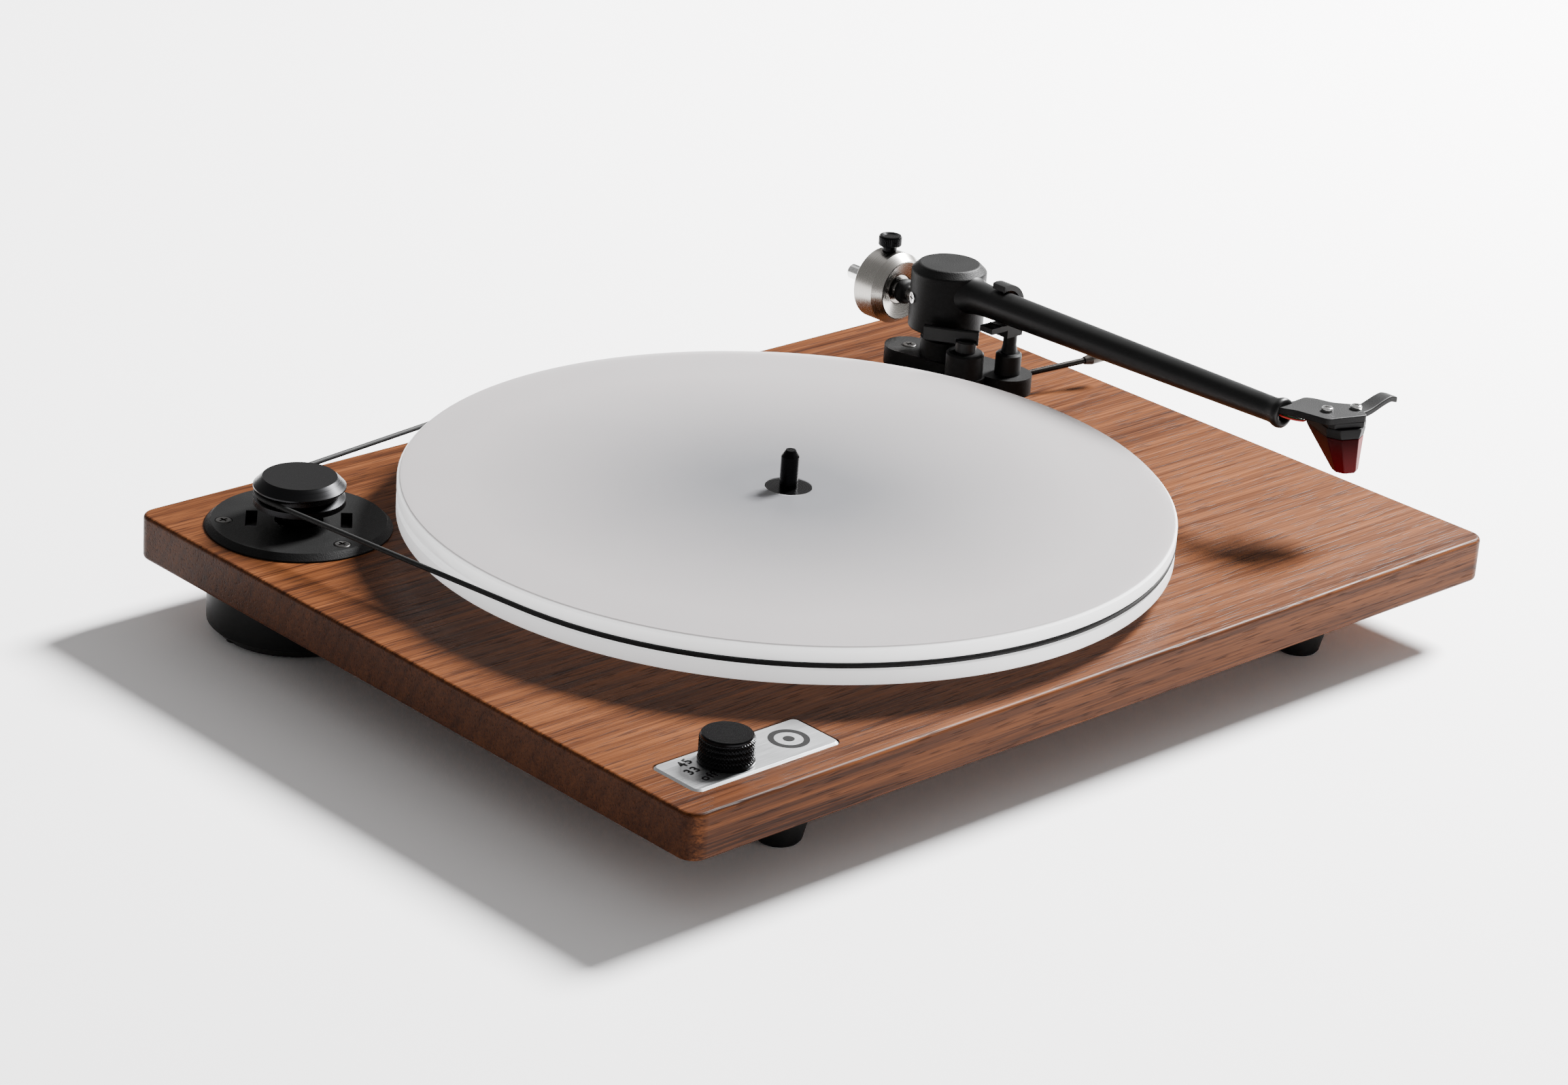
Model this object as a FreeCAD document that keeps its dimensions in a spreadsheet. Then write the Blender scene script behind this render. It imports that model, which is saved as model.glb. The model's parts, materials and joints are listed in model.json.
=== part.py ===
"""Belt-drive turntable with a slab plinth, acrylic platter and one-piece tonearm.

Origin: on the surface it stands on, under the middle of the plinth. +X is the tonearm
side, -Y the front with the control knob, +Z up. Millimetres.
"""
import FreeCAD, Part
import math
import os
import re
import Sketcher
from FreeCAD import Placement, Rotation, Vector

DIMENSIONS = {
    # plinth
    "plinth_width": 425, "plinth_depth": 318, "plinth_thick": 18, "foot_height": 24,
    "plinth_corner": 7, "plinth_round": 1.6, "foot_x": 140.5, "foot_y": 127,
    "foot_top_radius": 13, "foot_base_radius": 8.5,
    # platter and its bearing
    "platter_x": -23.2, "platter_y": -1.1, "platter_radius": 149.5, "platter_thick": 14.7,
    "platter_gap": 7.1, "platter_chamfer": 1.2, "groove_depth": 2.3, "groove_half": 1.6,
    "spindle_radius": 3.58, "spindle_length": 15, "spindle_tip_radius": 1.95,
    "spindle_tip_length": 2.6, "flange_radius": 9.2, "flange_thick": 2,
    "bearing_radius": 4.9, "sleeve_radius": 9, "hub_radius": 24,
    # motor and belt
    "motor_x": -170, "motor_y": 113.1, "motor_radius": 25, "motor_hole_radius": 26,
    "plate_radius": 35.7, "plate_thick": 2.8, "plate_hole_radius": 9.3,
    "slot_length": 15, "slot_width": 4.4, "slot_offset": 18, "pod_radius": 34.5,
    "pod_wall": 2.5, "pulley_radius": 17.65, "pulley_belt_radius": 16.5,
    "pulley_core_radius": 15, "pulley_hub_radius": 7.5, "motor_shaft_radius": 1.6,
    "belt_radius": 1, "belt_ring_radius": 148.7,
    # control
    "control_x": -165.1, "control_y": -133.6, "control_width": 67.5, "control_depth": 24.2,
    "control_corner": 3, "control_thick": 1.6, "control_sink": 1.2, "control_gap": 0.35,
    "knob_x": -174.8, "knob_radius": 10.1, "knob_height": 10.4, "switch_shaft_radius": 3,
    # tonearm support
    "arm_x": 152, "arm_y": 88.6, "arm_axis_height": 84.7, "arm_tilt": 0.82,
    "base_width": 21.2, "base_thick": 8, "riser_thick": 4, "base_turn": 13.3,
    "base_back": 16.7, "base_front": 32.1, "boss_radius": 10, "boss_height": 8,
    "stem_radius": 6, "yaw_shaft_radius": 3, "rest_radius": 5.5, "clip_inner": 7.8,
    "clip_outer": 10.2, "clip_length": 7,
    # cue lift
    "barrel_x": -10.4, "barrel_y": -22.8, "barrel_radius": 8, "barrel_height": 10.5,
    "piston_radius": 4.4, "lever_radius": 1.3, "lever_reach": 53.4, "lever_inner": 19,
    "lever_turn": -14, "lever_tilt": 4.6, "hinge_pin_radius": 1,
    # tonearm
    "housing_radius": 16, "housing_top": 10.5, "housing_bottom": -17.7, "housing_wall": 3.4,
    "housing_chamfer": 3.1, "tube_root_radius": 6.7, "tube_end_radius": 4.8, "tube_end": 186.5,
    "tube_bore": 3, "shell_top": 3.6, "shell_thick": 2.8, "offset_angle": 23.4,
    "pivot_drop": 4.1, "pivot_screw_radius": 2.4, "weight_drop": 9.4,
    "weight_radius": 15.5, "weight_band": 11.1, "weight_nose": 4.2, "weight_nose_radius": 12.9,
    "weight_rear": 41.4, "stub_radius": 3.2, "stub_end": 58,
    "mount_x": 14.95, "mount_y": -202.7, "mount_spacing": 12.7, "stylus_reach": 9.5,
    "stylus_drop": 20.1,
}

doc = FreeCAD.newDocument("Turntable")
sheet = doc.addObject("Spreadsheet::Sheet", "Dims")
for row, (alias, amount) in enumerate(DIMENSIONS.items(), start=1):
    sheet.set("A%d" % row, alias)
    sheet.set("B%d" % row, str(amount))
    sheet.setAlias("B%d" % row, alias)
doc.recompute()

PIECES = []
UPRIGHT = Rotation()
FACE_DOWN = Rotation(Vector(1, 0, 0), 180)


def linked(rule):
    """A rule in aliases, written as FreeCAD reads it outside the sheet."""
    return re.sub(r"[a-z_]+", lambda m: "Dims." + m[0] if m[0] in DIMENSIONS else m[0], str(rule))


def value(rule):
    """What a rule in aliases comes to now."""
    return float(sheet.evalExpression(linked(rule)))


def point(x, y, z):
    """A vector from three rules."""
    return Vector(value(x), value(y), value(z))


def body(label, at=None):
    """A new named piece; `at` is its Placement, set once its features are in."""
    made = doc.addObject("PartDesign::Body", label)
    made.Label = label
    made.Placement = at if at else Placement()
    PIECES.append(made)
    return made


def feature(owner, kind, spot, turn=UPRIGHT, **sizes):
    """Add or cut one primitive, its sizes bound to the sheet."""
    made = owner.newObject("PartDesign::" + kind, owner.Label + "_" + kind)
    for prop, rule in sizes.items():
        made.setExpression(prop, linked(rule))
    made.Placement = Placement(point(*spot), turn)
    return made


def add_round(owner, radius, height, spot=(0, 0, 0), turn=UPRIGHT):
    return feature(owner, "AdditiveCylinder", spot, turn, Radius=radius, Height=height)


def cut_round(owner, radius, height, spot=(0, 0, 0), turn=UPRIGHT):
    return feature(owner, "SubtractiveCylinder", spot, turn, Radius=radius, Height=height)


def add_cone(owner, low, high, height, spot=(0, 0, 0), turn=UPRIGHT):
    return feature(owner, "AdditiveCone", spot, turn, Radius1=low, Radius2=high, Height=height)


def cut_cone(owner, low, high, height, spot=(0, 0, 0), turn=UPRIGHT):
    return feature(owner, "SubtractiveCone", spot, turn, Radius1=low, Radius2=high, Height=height)


def block(owner, kind, wide, deep, tall, middle, turn=UPRIGHT):
    """A box centred on `middle` in plan, standing on its height."""
    made = owner.newObject("PartDesign::" + kind, owner.Label + "_" + kind)
    for prop, rule in (("Length", wide), ("Width", deep), ("Height", tall)):
        made.setExpression(prop, linked(rule))
    corner = turn.multVec(Vector(-value(wide) / 2, -value(deep) / 2, 0))
    made.Placement = Placement(point(*middle) + corner, turn)
    return made


def add_block(owner, wide, deep, tall, middle, turn=UPRIGHT):
    return block(owner, "AdditiveBox", wide, deep, tall, middle, turn)


def cut_block(owner, wide, deep, tall, middle, turn=UPRIGHT):
    return block(owner, "SubtractiveBox", wide, deep, tall, middle, turn)


def plane_of(owner, role):
    return next(item for item in owner.Origin.OriginFeatures if item.Role == role)


def sketch_on(owner, role, lift=0):
    made = owner.newObject("Sketcher::SketchObject", owner.Label + "_sketch")
    made.AttachmentSupport = [(plane_of(owner, role), "")]
    made.MapMode = "FlatFace"
    made.AttachmentOffset = Placement(Vector(0, 0, value(lift)), UPRIGHT)
    return made


def draw_outline(sketch, corners):
    """A closed outline whose every corner is bound to the sheet."""
    spots = [Vector(value(a), value(b), 0) for a, b in corners]
    for start, end in zip(spots, spots[1:] + spots[:1]):
        sketch.addGeometry(Part.LineSegment(start, end), False)
    for i in range(len(spots)):
        sketch.addConstraint(Sketcher.Constraint("Coincident", i, 2, (i + 1) % len(spots), 1))
    for i, (corner, spot) in enumerate(zip(corners, spots)):
        for kind, axis, rule, size in (("DistanceX", -2, corner[0], spot.x),
                                       ("DistanceY", -1, corner[1], spot.y)):
            if abs(size) < 1e-9:
                sketch.addConstraint(Sketcher.Constraint("PointOnObject", i, 1, axis))
            else:
                mark = sketch.addConstraint(Sketcher.Constraint(kind, -1, 1, i, 1, size))
                sketch.setExpression("Constraints[%d]" % mark, linked(rule))


def turned(label, profile, at=None):
    """A body turned about its own Z from (radius, height) corners."""
    made = body(label, at)
    sketch = sketch_on(made, "XZ_Plane")
    draw_outline(sketch, profile)
    lathe = made.newObject("PartDesign::Revolution", label + "_turned")
    lathe.Profile = sketch
    lathe.ReferenceAxis = (sketch, ["V_Axis"])
    lathe.Angle = 360
    sketch.Visibility = False
    return made


def plate(label, outline, height, lift=0, at=None):
    """A body padded from an outline in plan."""
    made = body(label, at)
    sketch = sketch_on(made, "XY_Plane", lift)
    draw_outline(sketch, outline)
    pad = made.newObject("PartDesign::Pad", label + "_pad")
    pad.Profile = sketch
    pad.setExpression("Length", linked(height))
    return made


def soften(owner, kind, amount, pick):
    """Fillet or chamfer the edges of the body so far that `pick` accepts."""
    doc.recompute()
    base = owner.Tip
    names = ["Edge%d" % (i + 1) for i, edge in enumerate(base.Shape.Edges) if pick(edge)]
    made = owner.newObject("PartDesign::" + kind, owner.Label + "_" + kind)
    made.Base = (base, names)
    made.setExpression("Radius" if kind == "Fillet" else "Size", linked(amount))
    return made


def is_upright(edge):
    box = edge.BoundBox
    return box.ZLength > 1e-3 and box.XLength < 1e-3 and box.YLength < 1e-3


def lies_at(*heights):
    """Edges that lie flat at one of these heights."""
    levels = [value(rule) for rule in heights]

    def pick(edge):
        box = edge.BoundBox
        return box.ZLength < 1e-3 and any(abs(box.ZMin - level) < 1e-3 for level in levels)
    return pick


def solid_feature(label, shape, at=None):
    """A piece whose shape comes from Part's own functions."""
    made = doc.addObject("Part::Feature", label)
    made.Label = label
    made.Shape = shape
    if at:
        made.Placement = at
    PIECES.append(made)
    return made


def around(count, start=0):
    return [math.radians(start + 360 / count * i) for i in range(count)]


def screw_group(label, spots, head_radius, head_thick, shank_radius, length, frame=None):
    """Cross-head screws, one solid each, heads up at each spot."""
    solids = []
    for spot in spots:
        head = Part.makeCylinder(head_radius, head_thick, spot)
        head = head.makeFillet(head_thick * 0.45, [head.Edges[0]])
        shank = Part.makeCylinder(shank_radius, length, spot, Vector(0, 0, -1))
        screw = head.fuse(shank)
        for turn in (0, 90):
            arm = Part.makeBox(head_radius * 1.1, head_radius * 0.28, head_thick * 0.6)
            arm.translate(Vector(-head_radius * 0.55, -head_radius * 0.14, head_thick * 0.6))
            arm.rotate(Vector(), Vector(0, 0, 1), turn)
            arm.translate(spot)
            screw = screw.cut(arm)
        solids.append(screw)
    return solid_feature(label, Part.makeCompound(solids), frame)


# ---------------------------------------------------------------- plinth and feet
TOP = "foot_height + plinth_thick"
LEVEL = Rotation(Vector(1, 0, 0), 90)
platter_spot = (value("platter_x"), value("platter_y"))
motor_spot = (value("motor_x"), value("motor_y"))
arm_spot = (value("arm_x"), value("arm_y"))
FEET = {"front_left": (-1, -1), "front_right": (1, -1), "rear_right": (1, 1)}
FOOT_SCREW = {"head": 3.4, "shank": 1.7, "length": 16, "seat": 10}
BAY = {"x": 92, "y": 118, "wide": 76, "deep": 56, "tall": 12, "lid": 2}
JACK_Z = 33
JACK_X = {"rca_left": 72, "rca_right": 90, "dc": 112}
SWITCH_WELL = {"size": 26, "tall": 12}

plinth = body("plinth")
add_block(plinth, "plinth_width", "plinth_depth", "plinth_thick", (0, 0, "foot_height"))
soften(plinth, "Fillet", "plinth_corner", is_upright)
soften(plinth, "Fillet", "plinth_round", lies_at("foot_height", TOP))
cut_round(plinth, "motor_hole_radius", "plinth_thick + 2", (*motor_spot, "foot_height - 1"))
cut_round(plinth, "sleeve_radius + 0.05", "plinth_thick + 2", (*platter_spot, "foot_height - 1"))
cut_round(plinth, "stem_radius + 0.3", "plinth_thick + 2", (*arm_spot, "foot_height - 1"))
for side_x in (-1, 1):
    for side_y in (-1, 1):
        reach = "control_corner + control_gap"
        spot = ("control_x + %d * (control_width / 2 - control_corner)" % side_x,
                "control_y + %d * (control_depth / 2 - control_corner)" % side_y,
                TOP + " - control_sink")
        cut_round(plinth, reach, "control_sink + 1", spot)
recess_spot = ("control_x", "control_y", TOP + " - control_sink")
cut_block(plinth, "control_width + 2 * control_gap", "control_depth - 2 * control_corner",
          "control_sink + 1", recess_spot)
cut_block(plinth, "control_width - 2 * control_corner", "control_depth + 2 * control_gap",
          "control_sink + 1", recess_spot)
cut_block(plinth, SWITCH_WELL["size"], SWITCH_WELL["size"], SWITCH_WELL["tall"] + 1,
          ("knob_x", "control_y", "foot_height - 1"))
cut_round(plinth, "switch_shaft_radius + 2.2", "plinth_thick", ("knob_x", "control_y", "foot_height"))
cut_block(plinth, BAY["wide"], BAY["deep"], BAY["tall"] + 1, (BAY["x"], BAY["y"], "foot_height - 1"))
for jack_x in JACK_X.values():
    cut_round(plinth, 6.6, 20, (jack_x, 160, JACK_Z), LEVEL)
for side_x, side_y in FEET.values():
    cut_round(plinth, FOOT_SCREW["shank"] + 0.05, 9,
              ("%d * foot_x" % side_x, "%d * foot_y" % side_y, "foot_height - 1"))

for name, (side_x, side_y) in FEET.items():
    at = Placement(point("%d * foot_x" % side_x, "%d * foot_y" % side_y, 0), UPRIGHT)
    turned("foot_" + name, [
        ("4.2", "0"), ("foot_base_radius - 1", "0"), ("foot_base_radius", "1.2"),
        ("foot_top_radius", "foot_height - 3"), ("foot_top_radius", "foot_height"),
        ("1.8", "foot_height"), ("1.8", "10"), ("4.2", "10")], at)
foot_screws = []
for side_x, side_y in FEET.values():
    seat = point("%d * foot_x" % side_x, "%d * foot_y" % side_y, FOOT_SCREW["seat"])
    head = Part.makeCone(FOOT_SCREW["head"] - 1, FOOT_SCREW["head"], 2.4, seat - Vector(0, 0, 2.4))
    shank = Part.makeCylinder(FOOT_SCREW["shank"], FOOT_SCREW["length"] + 4, seat)
    foot_screws.append(head.fuse(shank))
solid_feature("foot_screws", Part.makeCompound(foot_screws))

# ---------------------------------------------------------------- platter bearing and platter
PLATTER_Z = TOP + " + platter_gap"
at_platter = Placement(point(*platter_spot, 0), UPRIGHT)
BALL_RADIUS = 2
SHAFT_FOOT = 26

turned("bearing_sleeve", [
    ("bearing_radius + 0.05", "22"), ("sleeve_radius", "22"), ("sleeve_radius", TOP),
    ("sleeve_radius + 5", TOP), ("sleeve_radius + 5", TOP + " + 1.6"),
    ("bearing_radius + 0.05", TOP + " + 1.6")], at_platter)
turned("bearing_cap", [
    ("0", "18"), ("sleeve_radius + 3", "18"), ("sleeve_radius + 4", "19"),
    ("sleeve_radius + 4", "foot_height"), ("sleeve_radius + 0.05", "foot_height"),
    ("sleeve_radius + 0.05", "22"), ("0", "22")], at_platter)
ball = Part.makeSphere(BALL_RADIUS, Vector(0, 0, 22 + BALL_RADIUS))
solid_feature("thrust_ball", ball, at_platter)

platter = turned("platter", [
    ("flange_radius + 0.1", "platter_thick"), ("flange_radius + 0.1", "platter_thick - flange_thick - 0.2"),
    ("bearing_radius + 0.02", "platter_thick - flange_thick - 0.2"), ("bearing_radius + 0.02", "0"),
    ("platter_radius - 0.5", "0"), ("platter_radius", "0.5"),
    ("platter_radius", "platter_thick / 2 - groove_half"),
    ("platter_radius - groove_depth", "platter_thick / 2 - groove_half"),
    ("platter_radius - groove_depth", "platter_thick / 2 + groove_half"),
    ("platter_radius", "platter_thick / 2 + groove_half"),
    ("platter_radius", "platter_thick - platter_chamfer"),
    ("platter_radius - platter_chamfer", "platter_thick")],
    Placement(point(*platter_spot, PLATTER_Z), UPRIGHT))

SPINDLE_Z = PLATTER_Z + " + platter_thick"
turned("spindle", [
    ("0", SHAFT_FOOT), ("bearing_radius - 1", SHAFT_FOOT), ("bearing_radius", SHAFT_FOOT + 1),
    ("bearing_radius", SPINDLE_Z + " - flange_thick - 0.2"),
    ("flange_radius", SPINDLE_Z + " - flange_thick - 0.2"), ("flange_radius", SPINDLE_Z + " - 0.2"),
    ("spindle_radius", SPINDLE_Z + " - 0.2"),
    ("spindle_radius", SPINDLE_Z + " + spindle_length - spindle_tip_length"),
    ("spindle_tip_radius", SPINDLE_Z + " + spindle_length"), ("0", SPINDLE_Z + " + spindle_length")],
    at_platter)
turned("platter_hub", [
    ("bearing_radius + 0.02", TOP + " + 2.2"), ("hub_radius - 8", TOP + " + 2.2"),
    ("hub_radius", TOP + " + 4.6"), ("hub_radius", PLATTER_Z),
    ("bearing_radius + 0.02", PLATTER_Z)], at_platter)

# ---------------------------------------------------------------- motor, pulley and belt
at_motor = Placement(point(*motor_spot, 0), UPRIGHT)
PLATE_SCREW_RADIUS = 28.5
PLATE_SCREW_START = 27.5
SLOT_ANGLE = 142
POD_SCREW_RADIUS = 29
MOTOR_TOP = 40

motor_plate = turned("motor_plate", [
    ("plate_hole_radius", TOP), ("plate_radius", TOP), ("plate_radius", TOP + " + 0.6"),
    ("plate_radius - 2.4", TOP + " + plate_thick"), ("plate_hole_radius", TOP + " + plate_thick")],
    at_motor)
for angle in (SLOT_ANGLE, SLOT_ANGLE + 180):
    direction = Vector(math.cos(math.radians(angle)), math.sin(math.radians(angle)), 0)
    centre = direction * value("slot_offset")
    cut_block(motor_plate, "slot_width", "slot_length", "plate_thick + 2",
              (centre.x, centre.y, TOP + " - 1"), Rotation(Vector(0, 0, 1), angle))
for turn in around(3, PLATE_SCREW_START):
    spot = (PLATE_SCREW_RADIUS * math.cos(turn), PLATE_SCREW_RADIUS * math.sin(turn))
    cut_round(motor_plate, 1.75, 6, (*spot, TOP + " - 1"))
    cut_round(motor_plate, 3.4, 3, (*spot, TOP + " + plate_thick - 1.2"))
    cut_round(plinth, 1.65, 9, (spot[0] + motor_spot[0], spot[1] + motor_spot[1], TOP + " - 8"))
screw_group("motor_plate_screws", [
    Vector(PLATE_SCREW_RADIUS * math.cos(turn), PLATE_SCREW_RADIUS * math.sin(turn),
           value(TOP + " + plate_thick - 1.2")) for turn in around(3, PLATE_SCREW_START)],
    3.2, 1.4, 1.6, 8, at_motor)

pod = turned("motor_pod", [
    ("0", "1"), ("pod_radius - 4", "1"), ("pod_radius", "5"), ("pod_radius", "foot_height"),
    ("pod_radius - pod_wall", "foot_height"), ("pod_radius - pod_wall", "5"),
    ("pod_radius - 5", "3.4"), ("0", "3.4")], at_motor)
for turn in around(3, 60):
    spot = (POD_SCREW_RADIUS * math.cos(turn), POD_SCREW_RADIUS * math.sin(turn))
    add_round(pod, 3.4, "foot_height - 2", (*spot, 2))
    cut_round(pod, 1.6, "foot_height", (*spot, 0))
    cut_round(pod, 2.9, 4, (*spot, 0))
pod_screws = []
for turn in around(3, 60):
    seat = Vector(POD_SCREW_RADIUS * math.cos(turn), POD_SCREW_RADIUS * math.sin(turn), 4)
    head = Part.makeCylinder(2.5, 1.8, seat - Vector(0, 0, 1.8))
    pod_screws.append(head.fuse(Part.makeCylinder(1.4, 26, seat)))
    cut_round(plinth, 1.5, 7, (seat.x + motor_spot[0], seat.y + motor_spot[1], "foot_height - 1"))
solid_feature("pod_screws", Part.makeCompound(pod_screws), at_motor)
turned("pod_pad", [("14", "0"), ("24", "0"), ("24", "1"), ("14", "1")], at_motor)

turned("motor_case", [
    ("motor_shaft_radius + 0.1", "28"), ("motor_shaft_radius + 0.1", MOTOR_TOP + 1.2),
    ("6", MOTOR_TOP + 1.2), ("6", MOTOR_TOP), ("motor_radius", MOTOR_TOP), ("motor_radius", "16"),
    ("motor_radius - 1.5", "14"), ("0", "14"), ("0", "28")], at_motor)
grommets = []
for turn in around(2, SLOT_ANGLE - 90):
    foot = Vector(20 * math.cos(turn), 20 * math.sin(turn), MOTOR_TOP)
    ring = Part.makeCylinder(3.6, value(TOP) - MOTOR_TOP, foot)
    grommets.append(ring.cut(Part.makeCylinder(1.5, 6, foot - Vector(0, 0, 1))))
solid_feature("motor_grommets", Part.makeCompound(grommets), at_motor)

SHAFT_TOP = 16
turned("motor_shaft", [
    ("0", "29"), ("motor_shaft_radius", "29"), ("motor_shaft_radius", TOP + " + %d" % SHAFT_TOP),
    ("0", TOP + " + %d" % SHAFT_TOP)], at_motor)
turned("pulley", [
    ("motor_shaft_radius", TOP + " + 1.8"), ("pulley_hub_radius", TOP + " + 1.8"),
    ("pulley_hub_radius", TOP + " + 5.4"), ("pulley_hub_radius + 3", TOP + " + 6.2"),
    ("pulley_radius", TOP + " + 10"), ("pulley_radius", TOP + " + 12.2"),
    ("pulley_core_radius", TOP + " + 13.6"), ("pulley_core_radius", TOP + " + 15.2"),
    ("pulley_radius", TOP + " + 16.6"), ("pulley_radius", TOP + " + 17.2"),
    ("pulley_radius - 3.4", TOP + " + 20.6"), ("0", TOP + " + 20.6"),
    ("0", TOP + " + %d" % SHAFT_TOP), ("motor_shaft_radius", TOP + " + %d" % SHAFT_TOP)], at_motor)

belt_z = value(PLATTER_Z + " + platter_thick / 2")
big, small = value("belt_ring_radius"), value("pulley_belt_radius")
hub_centre = Vector(*platter_spot, belt_z)
motor_centre = Vector(*motor_spot, belt_z)
line_up = (motor_centre - hub_centre).normalize()
lean = math.acos((big - small) / (motor_centre - hub_centre).Length)
touches = {}
for side in (-1, 1):
    normal = Rotation(Vector(0, 0, 1), math.degrees(side * lean)).multVec(line_up)
    touches[side] = (hub_centre + normal * big, motor_centre + normal * small)
belt_path = Part.Wire([
    Part.Arc(touches[1][0], hub_centre - line_up * big, touches[-1][0]).toShape(),
    Part.LineSegment(touches[-1][0], touches[-1][1]).toShape(),
    Part.Arc(touches[-1][1], motor_centre + line_up * small, touches[1][1]).toShape(),
    Part.LineSegment(touches[1][1], touches[1][0]).toShape()])
belt_start = belt_path.Vertexes[0].Point
belt_ring = Part.Wire([Part.makeCircle(value("belt_radius"), belt_start,
                                       hub_centre.sub(belt_start).cross(Vector(0, 0, 1)))])
belt = Part.Wire(belt_path.Edges).makePipeShell([belt_ring], True, False)
solid_feature("drive_belt", belt)

# ---------------------------------------------------------------- control plate, switch and knob
at_switch = Placement(point("knob_x", "control_y", 0), UPRIGHT)
PLATE_FACE = TOP + " - control_sink + control_thick"
control_plate = body("control_plate")
add_block(control_plate, "control_width", "control_depth", "control_thick", recess_spot)
soften(control_plate, "Fillet", "control_corner", is_upright)
soften(control_plate, "Chamfer", "0.35", lies_at(PLATE_FACE))
cut_round(control_plate, "switch_shaft_radius + 1", "control_thick + 2",
          ("knob_x", "control_y", TOP + " - control_sink - 1"))
turned("knob", [
    ("switch_shaft_radius", "0"), ("knob_radius", "0"), ("knob_radius", "1.2"),
    ("knob_radius - 0.3", "1.6"), ("knob_radius - 0.3", "knob_height - 1"),
    ("knob_radius - 0.9", "knob_height"), ("0", "knob_height"),
    ("0", "knob_height - 2.4"), ("switch_shaft_radius", "knob_height - 2.4")],
    Placement(point("knob_x", "control_y", PLATE_FACE + " + 0.3"), UPRIGHT))
turned("switch_shaft", [
    ("0", "31"), ("switch_shaft_radius - 0.02", "31"),
    ("switch_shaft_radius - 0.02", PLATE_FACE + " + knob_height - 2.2"),
    ("0", PLATE_FACE + " + knob_height - 2.2")], at_switch)
switch_body = body("switch_body", at_switch)
add_block(switch_body, 21, 21, 7.6, (0, 0, 28.4))
add_round(switch_body, "switch_shaft_radius + 2", 4.6, (0, 0, 36))
cut_round(switch_body, "switch_shaft_radius + 0.05", 12, (0, 0, 30.9))

# ---------------------------------------------------------------- rear bay: board, jacks and lid
driver_board = body("driver_board")
add_block(driver_board, 58, 28, 1.6, (BAY["x"], 112, 34.4))
for x, y, wide, deep, tall in ((72, 106, 14, 9, 3), (94, 114, 8, 8, 5), (110, 106, 10, 6, 3)):
    add_block(driver_board, wide, deep, tall, (x, y, 34.4 - tall))
for name in ("rca_left", "rca_right"):
    turned(name + "_jack", [
        ("1.65", "0"), ("1.65", "7"), ("0", "7"), ("0", "11"), ("6.58", "11"), ("6.58", "9.4"),
        ("4.1", "9.4"), ("4.1", "0")],
        Placement(Vector(JACK_X[name], 158.2, JACK_Z), LEVEL))
turned("dc_jack", [
    ("0.9", "1"), ("0.9", "9"), ("2.75", "9"), ("2.75", "0"), ("5.4", "0"), ("5.4", "9.4"),
    ("6.58", "9.4"), ("6.58", "11"), ("0", "11"), ("0", "1")],
    Placement(Vector(JACK_X["dc"], 158.2, JACK_Z), LEVEL))
bay_lid = body("bay_lid")
add_block(bay_lid, BAY["wide"] - 0.6, BAY["deep"] - 0.6, BAY["lid"],
          (BAY["x"], BAY["y"], "foot_height"))
lid_screws = []
for side_x in (-1, 1):
    for side_y in (-1, 1):
        spot = Vector(BAY["x"] + side_x * (BAY["wide"] / 2 - 4),
                      BAY["y"] + side_y * (BAY["deep"] / 2 - 4), 0)
        if side_y == 1:
            spot.y -= 8
        cut_round(bay_lid, 1.5, 4, (spot.x, spot.y, 23))
        add_round(plinth, 3, BAY["tall"] - BAY["lid"] + 0.5, (spot.x, spot.y, 24 + BAY["lid"]))
        cut_round(plinth, 1.3, 8, (spot.x, spot.y, 24 + BAY["lid"]))
        head = Part.makeCylinder(2.6, 1.4, Vector(spot.x, spot.y, 22.6))
        lid_screws.append(head.fuse(Part.makeCylinder(1.2, 8, Vector(spot.x, spot.y, 24))))
solid_feature("lid_screws", Part.makeCompound(lid_screws))

# ---------------------------------------------------------------- tonearm base, rest and cue lift
at_base = Placement(point(*arm_spot, 0), Rotation(Vector(0, 0, 1), value("base_turn")))
at_pillar = Placement(point(*arm_spot, 0), UPRIGHT)
BASE_Z = TOP + " + riser_thick"
BASE_TOP = BASE_Z + " + base_thick"
BOSS_TOP = BASE_TOP + " + boss_height"


def stadium(label, half, low, tall):
    """A round-ended bar under the arm, in the turned frame of the base."""
    made = body(label, at_base)
    add_block(made, "2 * (%s)" % half, "base_back + base_front", tall,
              (0, "(base_back - base_front) / 2", low))
    add_round(made, half, tall, (0, "base_back", low))
    add_round(made, half, tall, (0, "-base_front", low))
    return made


riser = stadium("arm_riser", "base_width / 2 - 3.6", TOP, "riser_thick")
cut_round(riser, "stem_radius + 0.05", "riser_thick + 2", (0, 0, TOP + " - 1"))
arm_base = stadium("arm_base", "base_width / 2", BASE_Z, "base_thick")
add_round(arm_base, "boss_radius", "boss_height", (0, 0, BASE_TOP))
lift_spot = Rotation(Vector(0, 0, 1), -value("base_turn")).multVec(
    point("barrel_x", "barrel_y", 0))
add_round(arm_base, "barrel_radius + 1", "base_thick", (lift_spot.x, lift_spot.y, BASE_Z))
cut_round(arm_base, "stem_radius + 0.05", 30, (0, 0, BASE_Z + " - 1"))
cut_round(arm_base, "piston_radius + 0.8", "base_thick + 2", (lift_spot.x, lift_spot.y, BASE_Z + " - 1"))
cut_round(arm_base, 1.7, "base_thick + 2", (0, "base_back", BASE_Z + " - 1"))
cut_round(riser, 1.7, "riser_thick + 2", (0, "base_back", TOP + " - 1"))
cut_round(arm_base, 3.4, 3, (0, "base_back", BASE_TOP + " - 1.1"))

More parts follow.
